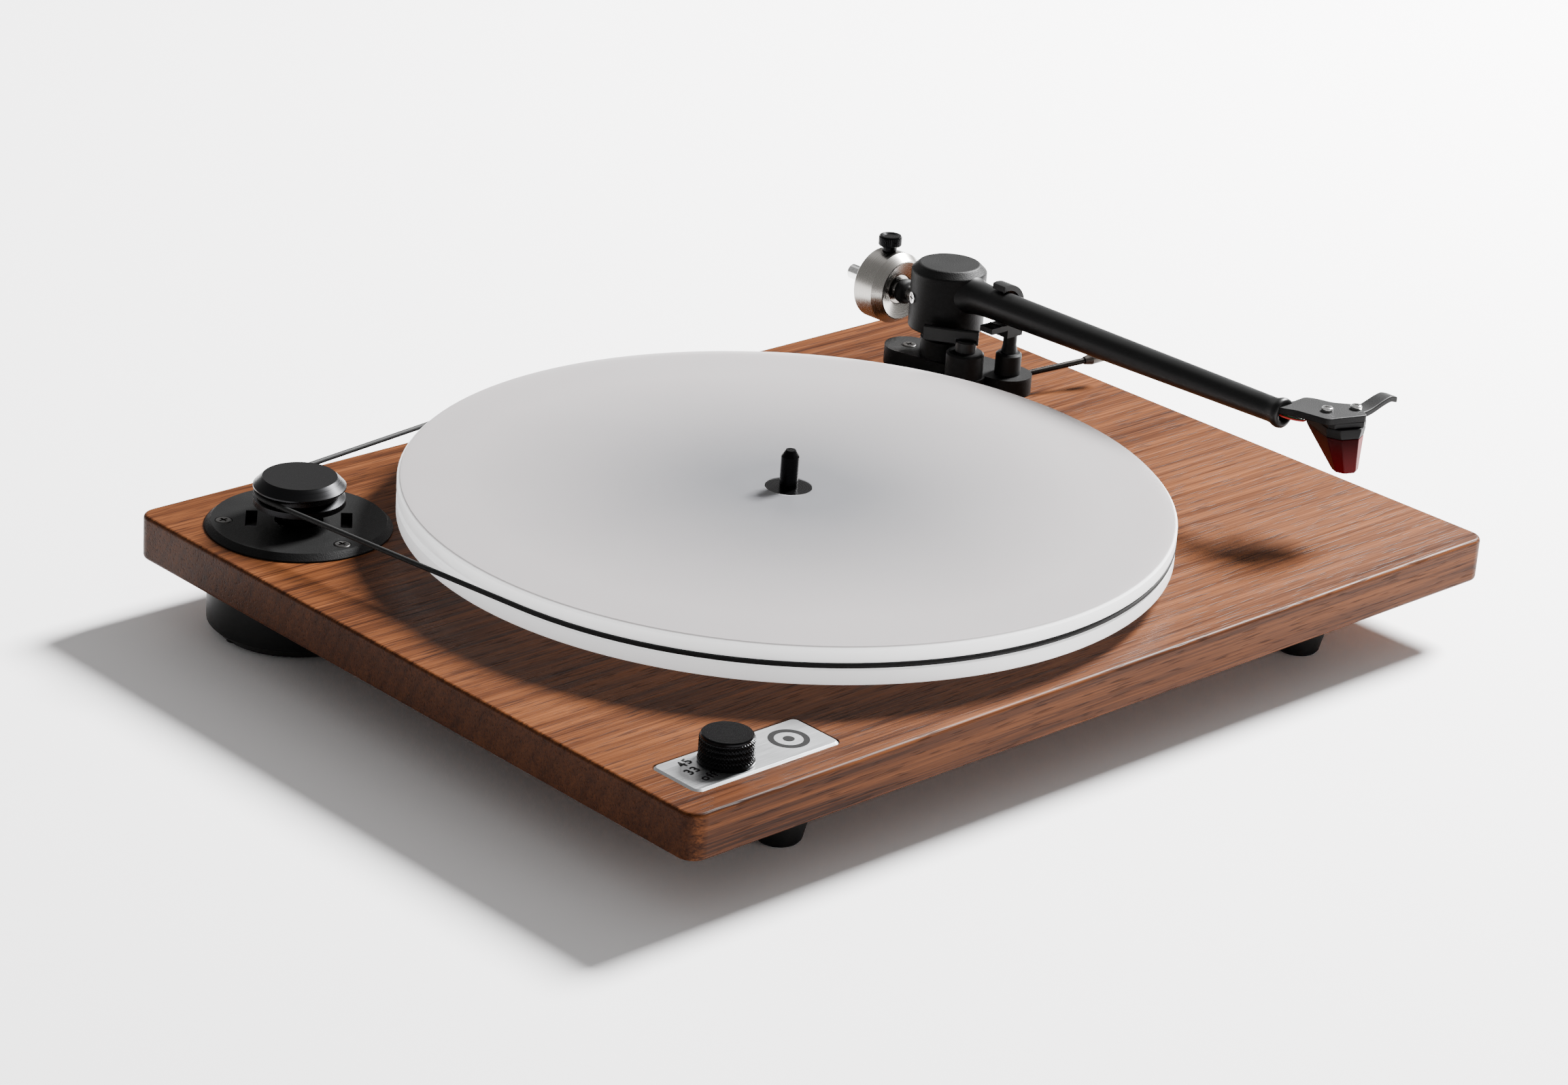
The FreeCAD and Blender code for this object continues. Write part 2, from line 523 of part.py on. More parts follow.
# the cue lever runs in a slot, from under the lift piston out to the right
lever_yaw = value("lever_turn")
lever_line = Rotation(Vector(0, 0, 1), lever_yaw).multVec(Vector(1, 0, 0))
hinge_local = point("barrel_x", "barrel_y", 0) + lever_line * value("lever_inner")
hinge = point(*arm_spot, TOP + " + 7.6") + hinge_local
base_frame_turn = Rotation(Vector(0, 0, 1), -value("base_turn"))
slot_centre = base_frame_turn.multVec(hinge_local + lever_line * 3)
slot_turn = Rotation(Vector(0, 0, 1), lever_yaw - value("base_turn"))
cut_block(arm_base, 2 * value("lever_inner") + 2, 4.6, "base_thick - 1",
          (slot_centre.x, slot_centre.y, BASE_Z + " - 0.01"), slot_turn)
pin_spot = base_frame_turn.multVec(hinge_local)
pin_turn = slot_turn.multiply(Rotation(Vector(1, 0, 0), 90))
pin_start = pin_spot - pin_turn.multVec(Vector(0, 0, 4.4))
cut_round(arm_base, "hinge_pin_radius + 0.02", 8.8, (pin_start.x, pin_start.y, TOP + " + 7.6"), pin_turn)

stem = turned("arm_stem", [
    ("yaw_shaft_radius + 2.1", "20"), ("stem_radius", "20"), ("stem_radius", BOSS_TOP),
    ("yaw_shaft_radius + 2.1", BOSS_TOP), ("yaw_shaft_radius + 2.1", BOSS_TOP + " - 4"),
    ("yaw_shaft_radius + 0.6", BOSS_TOP + " - 4.6"), ("yaw_shaft_radius + 0.6", "25"),
    ("yaw_shaft_radius + 2.1", "24.4")], at_pillar)
nut = Part.Face(Part.makePolygon([Vector(10 * math.cos(turn), 10 * math.sin(turn), 21)
                                  for turn in around(6) + [0]])).extrude(Vector(0, 0, 3))
solid_feature("arm_nut", nut.cut(Part.makeCylinder(value("stem_radius + 0.02"), 9, Vector(0, 0, 18))),
              at_pillar)
yaw_bearings = []
for low in (20.2, value(BOSS_TOP) - 3.8):
    ring = Part.makeCylinder(value("yaw_shaft_radius + 2.05"), 3.6, Vector(0, 0, low))
    yaw_bearings.append(ring.cut(Part.makeCylinder(value("yaw_shaft_radius + 0.03"), 9,
                                                   Vector(0, 0, low - 1))))
solid_feature("yaw_bearings", Part.makeCompound(yaw_bearings), at_pillar)
screw_group("arm_base_screw", [point(0, "base_back", BASE_TOP + " - 1.1")], 3.2, 1.5, 1.6, 16, at_base)
cut_spot = at_base.multVec(point(0, "base_back", 0))
cut_round(plinth, 1.65, 9, (cut_spot.x, cut_spot.y, TOP + " - 8"))

rest_spot = at_base.multVec(point(0, "-base_front", 0))
clip_z = value("arm_axis_height") + math.tan(math.radians(value("arm_tilt"))) * (
    value("arm_y") - rest_spot.y)
post_top = clip_z - value("clip_outer") - 1.5
arm_rest = turned("arm_rest", [
    ("0", BASE_TOP), ("rest_radius", BASE_TOP), ("rest_radius", BASE_TOP + " + 8.6"),
    ("rest_radius - 0.8", BASE_TOP + " + 9.4"), ("rest_radius - 1.9", BASE_TOP + " + 9.4"),
    ("rest_radius - 2.6", BASE_TOP + " + 13"), ("rest_radius - 2.6", post_top),
    ("0", post_top)], Placement(Vector(rest_spot.x, rest_spot.y, 0), UPRIGHT))
clip_centre = Vector(value("arm_x") - rest_spot.x, 0, clip_z)
clip_start = (clip_centre.x, "clip_length / 2", clip_z)
add_block(arm_rest, 9, "clip_length", 7, (-1.2, 0, post_top - 2))
add_round(arm_rest, "clip_outer", "clip_length", clip_start, LEVEL)
cut_round(arm_rest, "clip_inner", "clip_length + 2", (clip_centre.x, "clip_length / 2 + 1", clip_z), LEVEL)
cut_block(arm_rest, 16, "clip_length + 2", 18, (clip_centre.x - 10.4, 0, clip_z - 7.7))
add_block(arm_rest, 8.4, "clip_length", "clip_outer - 7.75", (clip_centre.x - 3.8, 0, clip_z - value("clip_outer")))

lift_frame = Placement(point(*arm_spot, 0) + point("barrel_x", "barrel_y", 0), UPRIGHT)
turned("cue_barrel", [
    ("piston_radius + 0.05", BASE_TOP), ("barrel_radius", BASE_TOP),
    ("barrel_radius", BASE_TOP + " + barrel_height - 0.8"),
    ("barrel_radius - 0.8", BASE_TOP + " + barrel_height"),
    ("piston_radius + 0.05", BASE_TOP + " + barrel_height")], lift_frame)
PISTON_TOP = BASE_TOP + " + barrel_height + 5.2"
lift_piston = turned("lift_piston", [
    ("0", BASE_Z + " + 4"), ("1.4", BASE_Z + " + 4"), ("1.4", BASE_TOP + " + 1"),
    ("piston_radius", BASE_TOP + " + 1"), ("piston_radius", PISTON_TOP + " - 0.7"),
    ("piston_radius - 0.7", PISTON_TOP), ("0", PISTON_TOP)], lift_frame)
BAR_THICK, BAR_TALL, BAR_RADIUS = 2.6, 6, 110
bar_ends = (Vector(-20.2, -7.3, 0), Vector(-6.6, -26.2, 0))
bar_mid = (bar_ends[0] + bar_ends[1]) * 0.5
bar_out = Vector(0, 0, 1).cross(bar_ends[1] - bar_ends[0]).normalize()
half_span = (bar_ends[1] - bar_ends[0]).Length / 2
bar_centre = bar_mid + bar_out * math.sqrt(BAR_RADIUS ** 2 - half_span ** 2)
arcs = []
for radius in (BAR_RADIUS - BAR_THICK / 2, BAR_RADIUS + BAR_THICK / 2):
    a, b = ((spot - bar_centre).normalize() * radius + bar_centre for spot in bar_ends)
    arcs.append((a, bar_centre - bar_out * radius, b))
bar_face = Part.Face(Part.Wire([
    Part.Arc(*arcs[0]).toShape(), Part.LineSegment(arcs[0][2], arcs[1][2]).toShape(),
    Part.Arc(*reversed(arcs[1])).toShape(), Part.LineSegment(arcs[1][0], arcs[0][0]).toShape()]))
BAR_Z = BASE_TOP + " + barrel_height + 3.2"
lift_bar = bar_face.extrude(Vector(0, 0, BAR_TALL))
bar_shift = Placement(point(*arm_spot, BAR_Z), UPRIGHT)
seat_high = value(PISTON_TOP) - value(BAR_Z)
piston_solid = Part.makeCylinder(value("piston_radius"), seat_high + 20, point("barrel_x", "barrel_y", -20))
lift_bar = lift_bar.cut(piston_solid)
bar_top = [edge for edge in lift_bar.Edges if edge.BoundBox.ZMin > BAR_TALL - 0.01 and edge.Length > 9]
solid_feature("lift_bar", lift_bar.makeChamfer(0.5, bar_top), bar_shift)

lever_turned = Rotation(Vector(0, 0, 1), lever_yaw).multiply(
    Rotation(Vector(0, 1, 0), -value("lever_tilt")))
at_lever = Placement(hinge, lever_turned)
ALONG = Rotation(Vector(0, 1, 0), 90)
cue_lever = body("cue_lever", at_lever)
add_round(cue_lever, "lever_radius", "lever_reach + lever_inner + 1", ("-lever_inner - 1", 0, 0), ALONG)
add_round(cue_lever, "lever_radius + 1.3", 3.6, (0, 1.8, 0), LEVEL)
cut_round(cue_lever, "hinge_pin_radius + 0.04", 6, (0, 3, 0), LEVEL)
lever_grip = body("lever_grip", at_lever)
add_cone(lever_grip, 1.7, 2.4, 3.5, ("lever_reach - 11.5", 0, 0), ALONG)
add_cone(lever_grip, 2.4, 2, 8, ("lever_reach - 8", 0, 0), ALONG)
cut_round(lever_grip, "lever_radius + 0.02", 11.5, ("lever_reach - 11.5", 0, 0), ALONG)
pin_frame = Placement(hinge, Rotation(Vector(0, 0, 1), lever_yaw).multiply(Rotation(Vector(1, 0, 0), 90)))
hinge_pin = Part.makeCylinder(value("hinge_pin_radius"), 8.4, Vector(0, 0, -4.2))
solid_feature("cue_hinge_pin", hinge_pin, pin_frame)

# ---------------------------------------------------------------- tonearm
arm_turn = Rotation(Vector(1, 0, 0), -value("arm_tilt"))
at_arm = Placement(point(*arm_spot, "arm_axis_height"), arm_turn)
FORWARD = Rotation(Vector(1, 0, 0), 90)
BACKWARD = Rotation(Vector(1, 0, 0), -90)
offset = Rotation(Vector(0, 0, 1), -value("offset_angle"))
pivot_line = offset.multVec(Vector(1, 0, 0))
PIVOT_Z = "-pivot_drop"

wand = turned("tonearm_wand", [
    ("0", "housing_bottom"), ("housing_radius - 1.2", "housing_bottom"),
    ("housing_radius", "housing_bottom + 1.2"), ("housing_radius", "housing_top - 3"),
    ("housing_radius - housing_chamfer", "housing_top"), ("0", "housing_top")], at_arm)
add_cone(wand, "tube_root_radius", "tube_end_radius", "tube_end - 8", (0, -8, 0), FORWARD)
add_cone(wand, "tube_root_radius + 2.4", "tube_root_radius - 0.2", 11, (0, -13, 0), FORWARD)
shell = wand.newObject("Sketcher::SketchObject", "headshell_outline")
shell.AttachmentSupport = [(plane_of(wand, "XY_Plane"), "")]
shell.MapMode = "FlatFace"
shell.AttachmentOffset = Placement(point(0, 0, "shell_top - shell_thick"), UPRIGHT)
draw_outline(shell, [
    ("-3.6", "-183"), ("-1.2", "-190"), ("mount_x - 13.25", "mount_y - 4"),
    ("mount_x + 3.85", "mount_y - 10.1"), ("mount_x + 10.05", "mount_y + 0.8"),
    ("mount_x + 3.65", "mount_y + 7.7"), ("mount_x + 1.95", "mount_y + 15"),
    ("mount_x - 0.35", "mount_y + 18.4"), ("5.9", "-184.8"), ("3.6", "-183")])
shell_pad = wand.newObject("PartDesign::Pad", "headshell_pad")
shell_pad.Profile = shell
shell_pad.setExpression("Length", "Dims.shell_thick")
finger = sketch_on(wand, "XZ_Plane", "-mount_y - 1.2")
draw_outline(finger, [
    ("mount_x + 5.5", "0.8"), ("mount_x + 12", "1.3"), ("mount_x + 18", "3.6"), ("mount_x + 23", "4.3"),
    ("mount_x + 27.8", "2.9"), ("mount_x + 28.2", "4.5"), ("mount_x + 23", "6.1"),
    ("mount_x + 17.4", "5.5"), ("mount_x + 11.4", "shell_top"), ("mount_x + 5.5", "shell_top")])
finger_pad = wand.newObject("PartDesign::Pad", "finger_pad")
finger_pad.Profile = finger
finger_pad.Length = 6
cut_round(wand, "housing_radius - housing_wall", "housing_top - housing_bottom - 4.4",
          (0, 0, "housing_bottom - 0.1"))
cut_round(wand, "tube_bore", "tube_end - 8.9", (0, -9, 0), FORWARD)
for side in (-1, 1):
    start = pivot_line * (side * 8)
    cut_round(wand, "pivot_screw_radius + 0.02", 12, (start.x, start.y, PIVOT_Z),
              offset.multiply(Rotation(Vector(0, 1, 0), 90 * side)))
cut_round(wand, "stub_radius + 0.02", 12, (0, 8, "-weight_drop"), BACKWARD)
mount = point("mount_x", "mount_y", 0)
mount_spots = [mount + pivot_line * (side * value("mount_spacing") / 2) for side in (-1, 1)]
for spot in mount_spots:
    cut_round(wand, 1.35, 10, (spot.x, spot.y, -3))

pivots = []
for side in (-1, 1):
    turn = offset.multiply(Rotation(Vector(0, 1, 0), 90 * side))
    inner = pivot_line * (side * 10.4)
    inner.z = value(PIVOT_Z)
    outward = pivot_line * side
    shank = Part.makeCylinder(value("pivot_screw_radius"), 6, inner, outward)
    tip = Part.makeCone(0.25, 1.2, 2.4, inner - outward * 2.4, outward)
    screw = shank.fuse(tip)
    for cross in (0, 90):
        arm = Part.makeBox(0.7, 3.4, 0.9, Vector(-0.35, -1.7, 5.1))
        arm.rotate(Vector(), Vector(0, 0, 1), cross)
        arm.Placement = Placement(inner, turn).multiply(arm.Placement)
        screw = screw.cut(arm)
    pivots.append(screw)
solid_feature("pivot_screws", Part.makeCompound(pivots), at_arm)

yoke = body("arm_yoke", Placement(point(*arm_spot, 0), offset))
YOKE_LOW, YOKE_HIGH = "arm_axis_height + housing_bottom + 2.5", "arm_axis_height + 3"
add_round(yoke, "yaw_shaft_radius", YOKE_LOW + " - 20", (0, 0, 21))
add_round(yoke, "yaw_shaft_radius + 2.4", YOKE_LOW + " - (%s) - 0.5" % BOSS_TOP, (0, 0, BOSS_TOP + " + 0.5"))
add_block(yoke, 17, 11, YOKE_HIGH + " - (%s)" % YOKE_LOW, (0, 0, YOKE_LOW))
for side in (-1, 1):
    cut_cone(yoke, 0.6, 2, 2, (side * 6.6, 0, "arm_axis_height - pivot_drop"),
             Rotation(Vector(0, 1, 0), 90 * side))

turned("weight_stub", [("0", "13"), ("stub_radius", "13"), ("stub_radius", "stub_end - 0.6"),
                       ("stub_radius - 0.6", "stub_end"), ("0", "stub_end")],
       at_arm.multiply(Placement(point(0, 0, "-weight_drop"), BACKWARD)))
at_weight = at_arm.multiply(Placement(point(0, 0, "-weight_drop"), BACKWARD))
REAR = "weight_rear"
counterweight = turned("counterweight", [
    ("stub_radius + 0.05", REAR), ("weight_radius - 0.8", REAR), ("weight_radius", REAR + " - 0.8"),
    ("weight_radius", REAR + " - weight_band"),
    ("weight_nose_radius", REAR + " - weight_band - weight_nose"),
    ("7.6", REAR + " - weight_band - 0.4"), ("stub_radius + 0.05", REAR + " - weight_band - 0.4")],
    at_weight)
THUMB_Y = "weight_rear - 5.4"
cut_round(counterweight, 1.6, "weight_radius", (0, -2.5, THUMB_Y), FORWARD)
turned("thumbscrew", [
    ("0", "stub_radius + 0.4"), ("1.5", "stub_radius + 0.4"), ("1.5", "weight_radius"),
    ("2.9", "weight_radius + 0.3"), ("2.9", "weight_radius + 2.8"), ("4.4", "weight_radius + 3.2"),
    ("4.4", "weight_radius + 7"), ("3.8", "weight_radius + 7.6"), ("0", "weight_radius + 7.6")],
    at_arm.multiply(Placement(point(0, THUMB_Y, "-weight_drop"), UPRIGHT)))
turned("isolator_ring", [
    ("stub_radius + 0.02", "23.8"), ("5.3", "23.8"), ("6.3", "24.8"), ("6.3", "28.4"), ("5.3", "29.4"),
    ("stub_radius + 0.02", "29.4")], at_weight)

# ---------------------------------------------------------------- cartridge, in its own turned frame
at_cartridge = at_arm.multiply(Placement(point("mount_x", "mount_y", "shell_top - shell_thick"), offset))


def prism(rows):
    """A solid through outlines given as (height, [(x, y), ...]), top to bottom."""
    wires = [Part.makePolygon([Vector(x, y, z) for x, y in ring + ring[:1]]) for z, ring in rows]
    return Part.makeLoft(wires, True, True)


def nosed(half, rear, front, nose):
    """A body outline in plan: square at the rear, cut corners at the front."""
    return [(-half, rear), (half, rear), (half, front + nose), (half - nose, front),
            (-half + nose, front), (-half, front + nose)]


SPACER = 2.2
BODY_LOW = 6.2
spacer = prism([(0, nosed(8.4, 10, -7.6, 2)), (-SPACER, nosed(8.4, 10, -7.6, 2))])
for side in (-1, 1):
    spacer = spacer.cut(Part.makeCylinder(1.4, 6, Vector(side * value("mount_spacing") / 2, 0, -4)))
solid_feature("cartridge_spacer", spacer, at_cartridge)
cartridge = prism([(-SPACER, nosed(8.6, 15.5, -9.2, 4)), (-BODY_LOW, nosed(8.2, 13.4, -9.6, 4.4))])
for side in (-1, 1):
    cartridge = cartridge.cut(Part.makeCylinder(1.18, 3.6, Vector(side * value("mount_spacing") / 2, 0,
                                                                 -SPACER - 3.4)))
PIN_SPOTS = (-4.5, -1.5, 1.5, 4.5)
for x in PIN_SPOTS:
    cartridge = cartridge.fuse(Part.makeCylinder(0.6, 5.4, Vector(x, 13, -4.1), Vector(0, 1, 0)))
solid_feature("cartridge_body", cartridge, at_cartridge)
stylus_low = value("-stylus_drop - shell_top + shell_thick") + 1.2
stylus = prism([(-BODY_LOW - 0.05, nosed(8.1, 13.2, -9.7, 4.4)), (stylus_low, nosed(3.4, -4.2, -10.2, 2))])
notch = Part.makeBox(2.6, 4, 2.4, Vector(-1.3, -10.6, stylus_low - 0.6))
tip = Vector(0, -value("stylus_reach"), -value("stylus_drop + shell_top - shell_thick"))
root = tip + Vector(0, 4.6, 2.1)
rod_line = (tip + Vector(0, 0, 0.6) - root).normalize()
cantilever = Part.makeCone(0.32, 0.2, (tip - root).Length, root, rod_line)
cantilever = cantilever.fuse(Part.makeCone(0.26, 0.06, 0.75, tip + Vector(0, 0, 0.75), Vector(0, 0, -1)))
solid_feature("cantilever", cantilever, at_cartridge)
solid_feature("stylus_unit", stylus.cut(notch).cut(cantilever), at_cartridge)
cart_frame = at_arm.multiply(Placement(point(0, 0, "shell_top"), UPRIGHT))
screw_group("cartridge_screws", mount_spots, 2.3, 1.7, 1.15, value("shell_thick") + SPACER + 3.2, cart_frame)

# the four leads run side by side: (x, y, z) of the middle of the ribbon and its heading there
RIBBON = ((0, -184, 0, 0, -1), (0.3, -188, -0.6, 0.1, -1), (4.5, -191, -1.9, 1, 0),
          (8.2, -188, -2.7, 0.45, 0.9), (10.5, -182.5, -3.2, 0.6, 0.8), (15.2, -178.4, -3.3, 1, 0.1))
LEADS = {"red": 1.65, "green": 0.55, "white": -0.55, "blue": -1.65}
for (colour, aside), pin_x in zip(LEADS.items(), PIN_SPOTS):
    sleeve = mount + offset.multVec(Vector(pin_x, 18.5, 0))
    sleeve.z = value("shell_top - shell_thick") - 4.1
    stops = [Vector(x, y, z) + Vector(ahead_y, -ahead_x, 0).normalize() * aside
             for x, y, z, ahead_x, ahead_y in RIBBON]
    curve = Part.BSplineCurve()
    curve.interpolate(stops + [sleeve + offset.multVec(Vector(0, 3.2, 0)), sleeve])
    path = Part.Wire([curve.toShape()])
    start_line = curve.tangent(curve.FirstParameter)[0]
    ring = Part.Wire([Part.makeCircle(0.42, path.Vertexes[0].Point, start_line)])
    solid_feature("head_lead_" + colour, path.makePipeShell([ring], True, False), at_arm)

# ---------------------------------------------------------------- check and export
doc.recompute()
for item in doc.Objects:
    if {"Invalid", "Error"} & set(item.State):
        raise RuntimeError("%s did not build: %s" % (item.Label, item.State))
os.makedirs("parts", exist_ok=True)
for piece in PIECES:
    shape = piece.Shape
    if shape.isNull() or not shape.isValid() or not shape.Solids:
        raise RuntimeError(piece.Label + " has no valid solid")
    shape.exportStep(os.path.join("parts", piece.Label + ".step"))
print(len(PIECES), "pieces")
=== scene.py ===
import bmesh
import bpy
import json
import math
from mathutils import Matrix, Vector


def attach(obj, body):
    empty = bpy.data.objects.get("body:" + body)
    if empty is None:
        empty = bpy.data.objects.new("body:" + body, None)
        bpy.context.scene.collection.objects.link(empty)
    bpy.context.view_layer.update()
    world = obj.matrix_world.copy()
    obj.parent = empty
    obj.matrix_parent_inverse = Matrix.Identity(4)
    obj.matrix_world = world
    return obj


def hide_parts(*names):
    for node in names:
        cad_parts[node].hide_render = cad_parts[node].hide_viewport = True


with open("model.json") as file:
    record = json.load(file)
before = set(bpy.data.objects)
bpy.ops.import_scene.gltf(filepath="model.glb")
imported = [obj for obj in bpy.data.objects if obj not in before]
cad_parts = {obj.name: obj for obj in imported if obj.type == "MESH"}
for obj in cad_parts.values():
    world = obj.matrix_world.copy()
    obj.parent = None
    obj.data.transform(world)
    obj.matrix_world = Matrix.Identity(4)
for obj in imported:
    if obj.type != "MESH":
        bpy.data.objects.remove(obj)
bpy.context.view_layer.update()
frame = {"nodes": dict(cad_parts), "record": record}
mm = 0.001
fullTurn = 2 * math.pi

# ---- camera, lights and floor
camera = {"azimuth": -44.7, "elevation": 22.7, "roll": 4.09, "target": (-0.02622, -0.00396, 0.042),
          "distance": 1.58845, "lens": 94.87, "clipEnd": 40}
keyLight = {"azimuth": 94, "elevation": 41, "distance": 2.4, "size": 0.66, "power": 450}
backLight = {"azimuth": 165, "elevation": 34, "distance": 3.0, "size": 1.6, "power": 5}
fillLight = {"azimuth": 15, "elevation": 18, "distance": 2.4, "size": 1.2, "power": 4}
floorLook = {"size": 14, "colour": (0.94, 0.93, 0.93), "sky": (1.0, 0.985, 0.98), "skyPower": 0.4}


def bearing(azimuth, elevation):  # unit vector from the object towards a viewer or a light
    a, e = math.radians(azimuth), math.radians(elevation)
    return Vector((math.sin(a) * math.cos(e), -math.cos(a) * math.cos(e), math.sin(e)))


def placeCamera(view):
    back = bearing(view["azimuth"], view["elevation"])
    level = Vector((0, 0, 1)).cross(back).normalized()
    up = back.cross(level)
    roll = math.radians(view["roll"])
    right = level * math.cos(roll) + up * math.sin(roll)
    high = up * math.cos(roll) - level * math.sin(roll)
    made = bpy.data.objects.new("camera", bpy.data.cameras.new("camera"))
    bpy.context.collection.objects.link(made)
    turn = Matrix((right, high, back)).transposed().to_4x4()
    made.matrix_world = Matrix.Translation(Vector(view["target"]) + back * view["distance"]) @ turn
    made.data.lens = view["lens"]
    made.data.clip_end = view["clipEnd"]
    bpy.context.scene.camera = made


def placeLight(name, spec):
    made = bpy.data.objects.new(name, bpy.data.lights.new(name, "AREA"))
    bpy.context.collection.objects.link(made)
    made.data.shape = "DISK"
    made.data.size = spec["size"]
    made.data.energy = spec["power"]
    towards = bearing(spec["azimuth"], spec["elevation"])
    made.location = towards * spec["distance"]
    made.rotation_euler = towards.to_track_quat("Z", "Y").to_euler()


placeCamera(camera)
for name, spec in (("keyLight", keyLight), ("backLight", backLight), ("fillLight", fillLight)):
    placeLight(name, spec)
world = bpy.data.worlds.new("studio")
world.use_nodes = True
sky = world.node_tree.nodes["Background"]
sky.inputs["Color"].default_value = (*floorLook["sky"], 1)
sky.inputs["Strength"].default_value = floorLook["skyPower"]
bpy.context.scene.world = world
print("camera and lights placed")


# ---- shader helpers
class Flow:  # a socket that can be used in sums
    def __init__(self, paint, socket):
        self.paint, self.socket = paint, socket

    def maths(self, operation, *terms):
        return self.paint.node("ShaderNodeMath", {"operation": operation}, dict(enumerate(terms)))

    def __add__(self, other): return self.maths("ADD", self, other)
    def __radd__(self, other): return self.maths("ADD", other, self)
    def __sub__(self, other): return self.maths("SUBTRACT", self, other)
    def __mul__(self, other): return self.maths("MULTIPLY", self, other)
    def __pow__(self, other): return self.maths("POWER", self, other)
    def __abs__(self): return self.maths("ABSOLUTE", self)

    def ramp(self, *stops):  # stops are (place, grey or colour)
        return self.paint.node("ShaderNodeValToRGB", {"stops": stops}, {"Fac": self})

    def spread(self, low, high, toLow=0, toHigh=1):
        return self.paint.node("ShaderNodeMapRange", {"clamp": True}, {
            "Value": self, "From Min": low, "From Max": high, "To Min": toLow, "To Max": toHigh})


class Paint:  # one material and its nodes
    def __init__(self, name, fixed=None):
        self.material = bpy.data.materials.new(name)
        self.material.use_nodes = True
        self.tree = self.material.node_tree
        self.shader = self.tree.nodes["Principled BSDF"]
        for socket, amount in (fixed or {}).items():
            self.set(socket, amount)

    def set(self, socket, amount):
        self.plug(self.shader.inputs[socket], amount)

    def plug(self, target, amount):
        if isinstance(amount, Flow):
            self.tree.links.new(amount.socket, target)
        elif isinstance(amount, (tuple, list)) and target.type == "RGBA":
            target.default_value = (*amount[:3], 1)
        else:
            target.default_value = amount

    def node(self, kind, settings=None, inputs=None, output=0):
        made = self.tree.nodes.new(kind)
        for key, setting in (settings or {}).items():
            if key == "stops":
                while len(made.color_ramp.elements) < len(setting):
                    made.color_ramp.elements.new(0.5)
                for element, (place, tone) in zip(made.color_ramp.elements, setting):
                    element.position = place
                    grey = isinstance(tone, (int, float))
                    element.color = (tone, tone, tone, 1) if grey else (*tone, 1)
            else:
                setattr(made, key, setting)
        for key, amount in (inputs or {}).items():
            self.plug(made.inputs[key], amount)
        return Flow(self, made.outputs[output])

    def coordinates(self, stretch=(1, 1, 1), shift=(0, 0, 0)):
        spot = self.node("ShaderNodeTexCoord", output="Object")
        return self.node("ShaderNodeMapping", {"vector_type": "POINT"}, {
            "Vector": spot, "Location": shift, "Scale": stretch})

    def noise(self, size, detail, stretch=(1, 1, 1), rough=0.5, shift=(0, 0, 0)):
        return self.node("ShaderNodeTexNoise", {}, {
            "Vector": self.coordinates(stretch, shift), "Scale": size, "Detail": detail,
            "Roughness": rough})

    def blend(self, amount, first, second):
        made = self.tree.nodes.new("ShaderNodeMix")
        made.data_type = "RGBA"
        factorAt, firstAt, secondAt, resultAt = 0, 6, 7, 2  # where the node keeps its colour sockets
        for place, given in ((factorAt, amount), (firstAt, first), (secondAt, second)):
            self.plug(made.inputs[place], given)
        return Flow(self, made.outputs[resultAt])

    def vector(self, operation, first, second=(0, 0, 0), output=0):
        return self.node("ShaderNodeVectorMath", {"operation": operation}, {0: first, 1: second}, output)

    def emboss(self, height, depth, strength):
        bump = self.node("ShaderNodeBump", {}, {
            "Height": height, "Distance": depth, "Strength": strength})
        self.set("Normal", bump)

    def axes(self):
        spot = self.node("ShaderNodeTexCoord", output="Object")
        return [self.node("ShaderNodeSeparateXYZ", {}, {0: spot}, n) for n in range(3)]


# ---- finishes
walnutLook = {
    "light": (0.134, 0.0458, 0.0152), "mid": (0.063, 0.0202, 0.0068), "dark": (0.0165, 0.0048, 0.0018),
    "pore": (0.006, 0.0018, 0.0009), "end": (0.018, 0.0058, 0.0028), "specular": 0.05,
    "rings": 118, "slope": 0.6, "sway": 3, "cathedral": 15, "contrast": (0.34, 0.66),
    "poreRange": (0.57, 0.67), "endFacing": (0.5, 0.8), "roughness": 0.36, "depth": 0.00012}


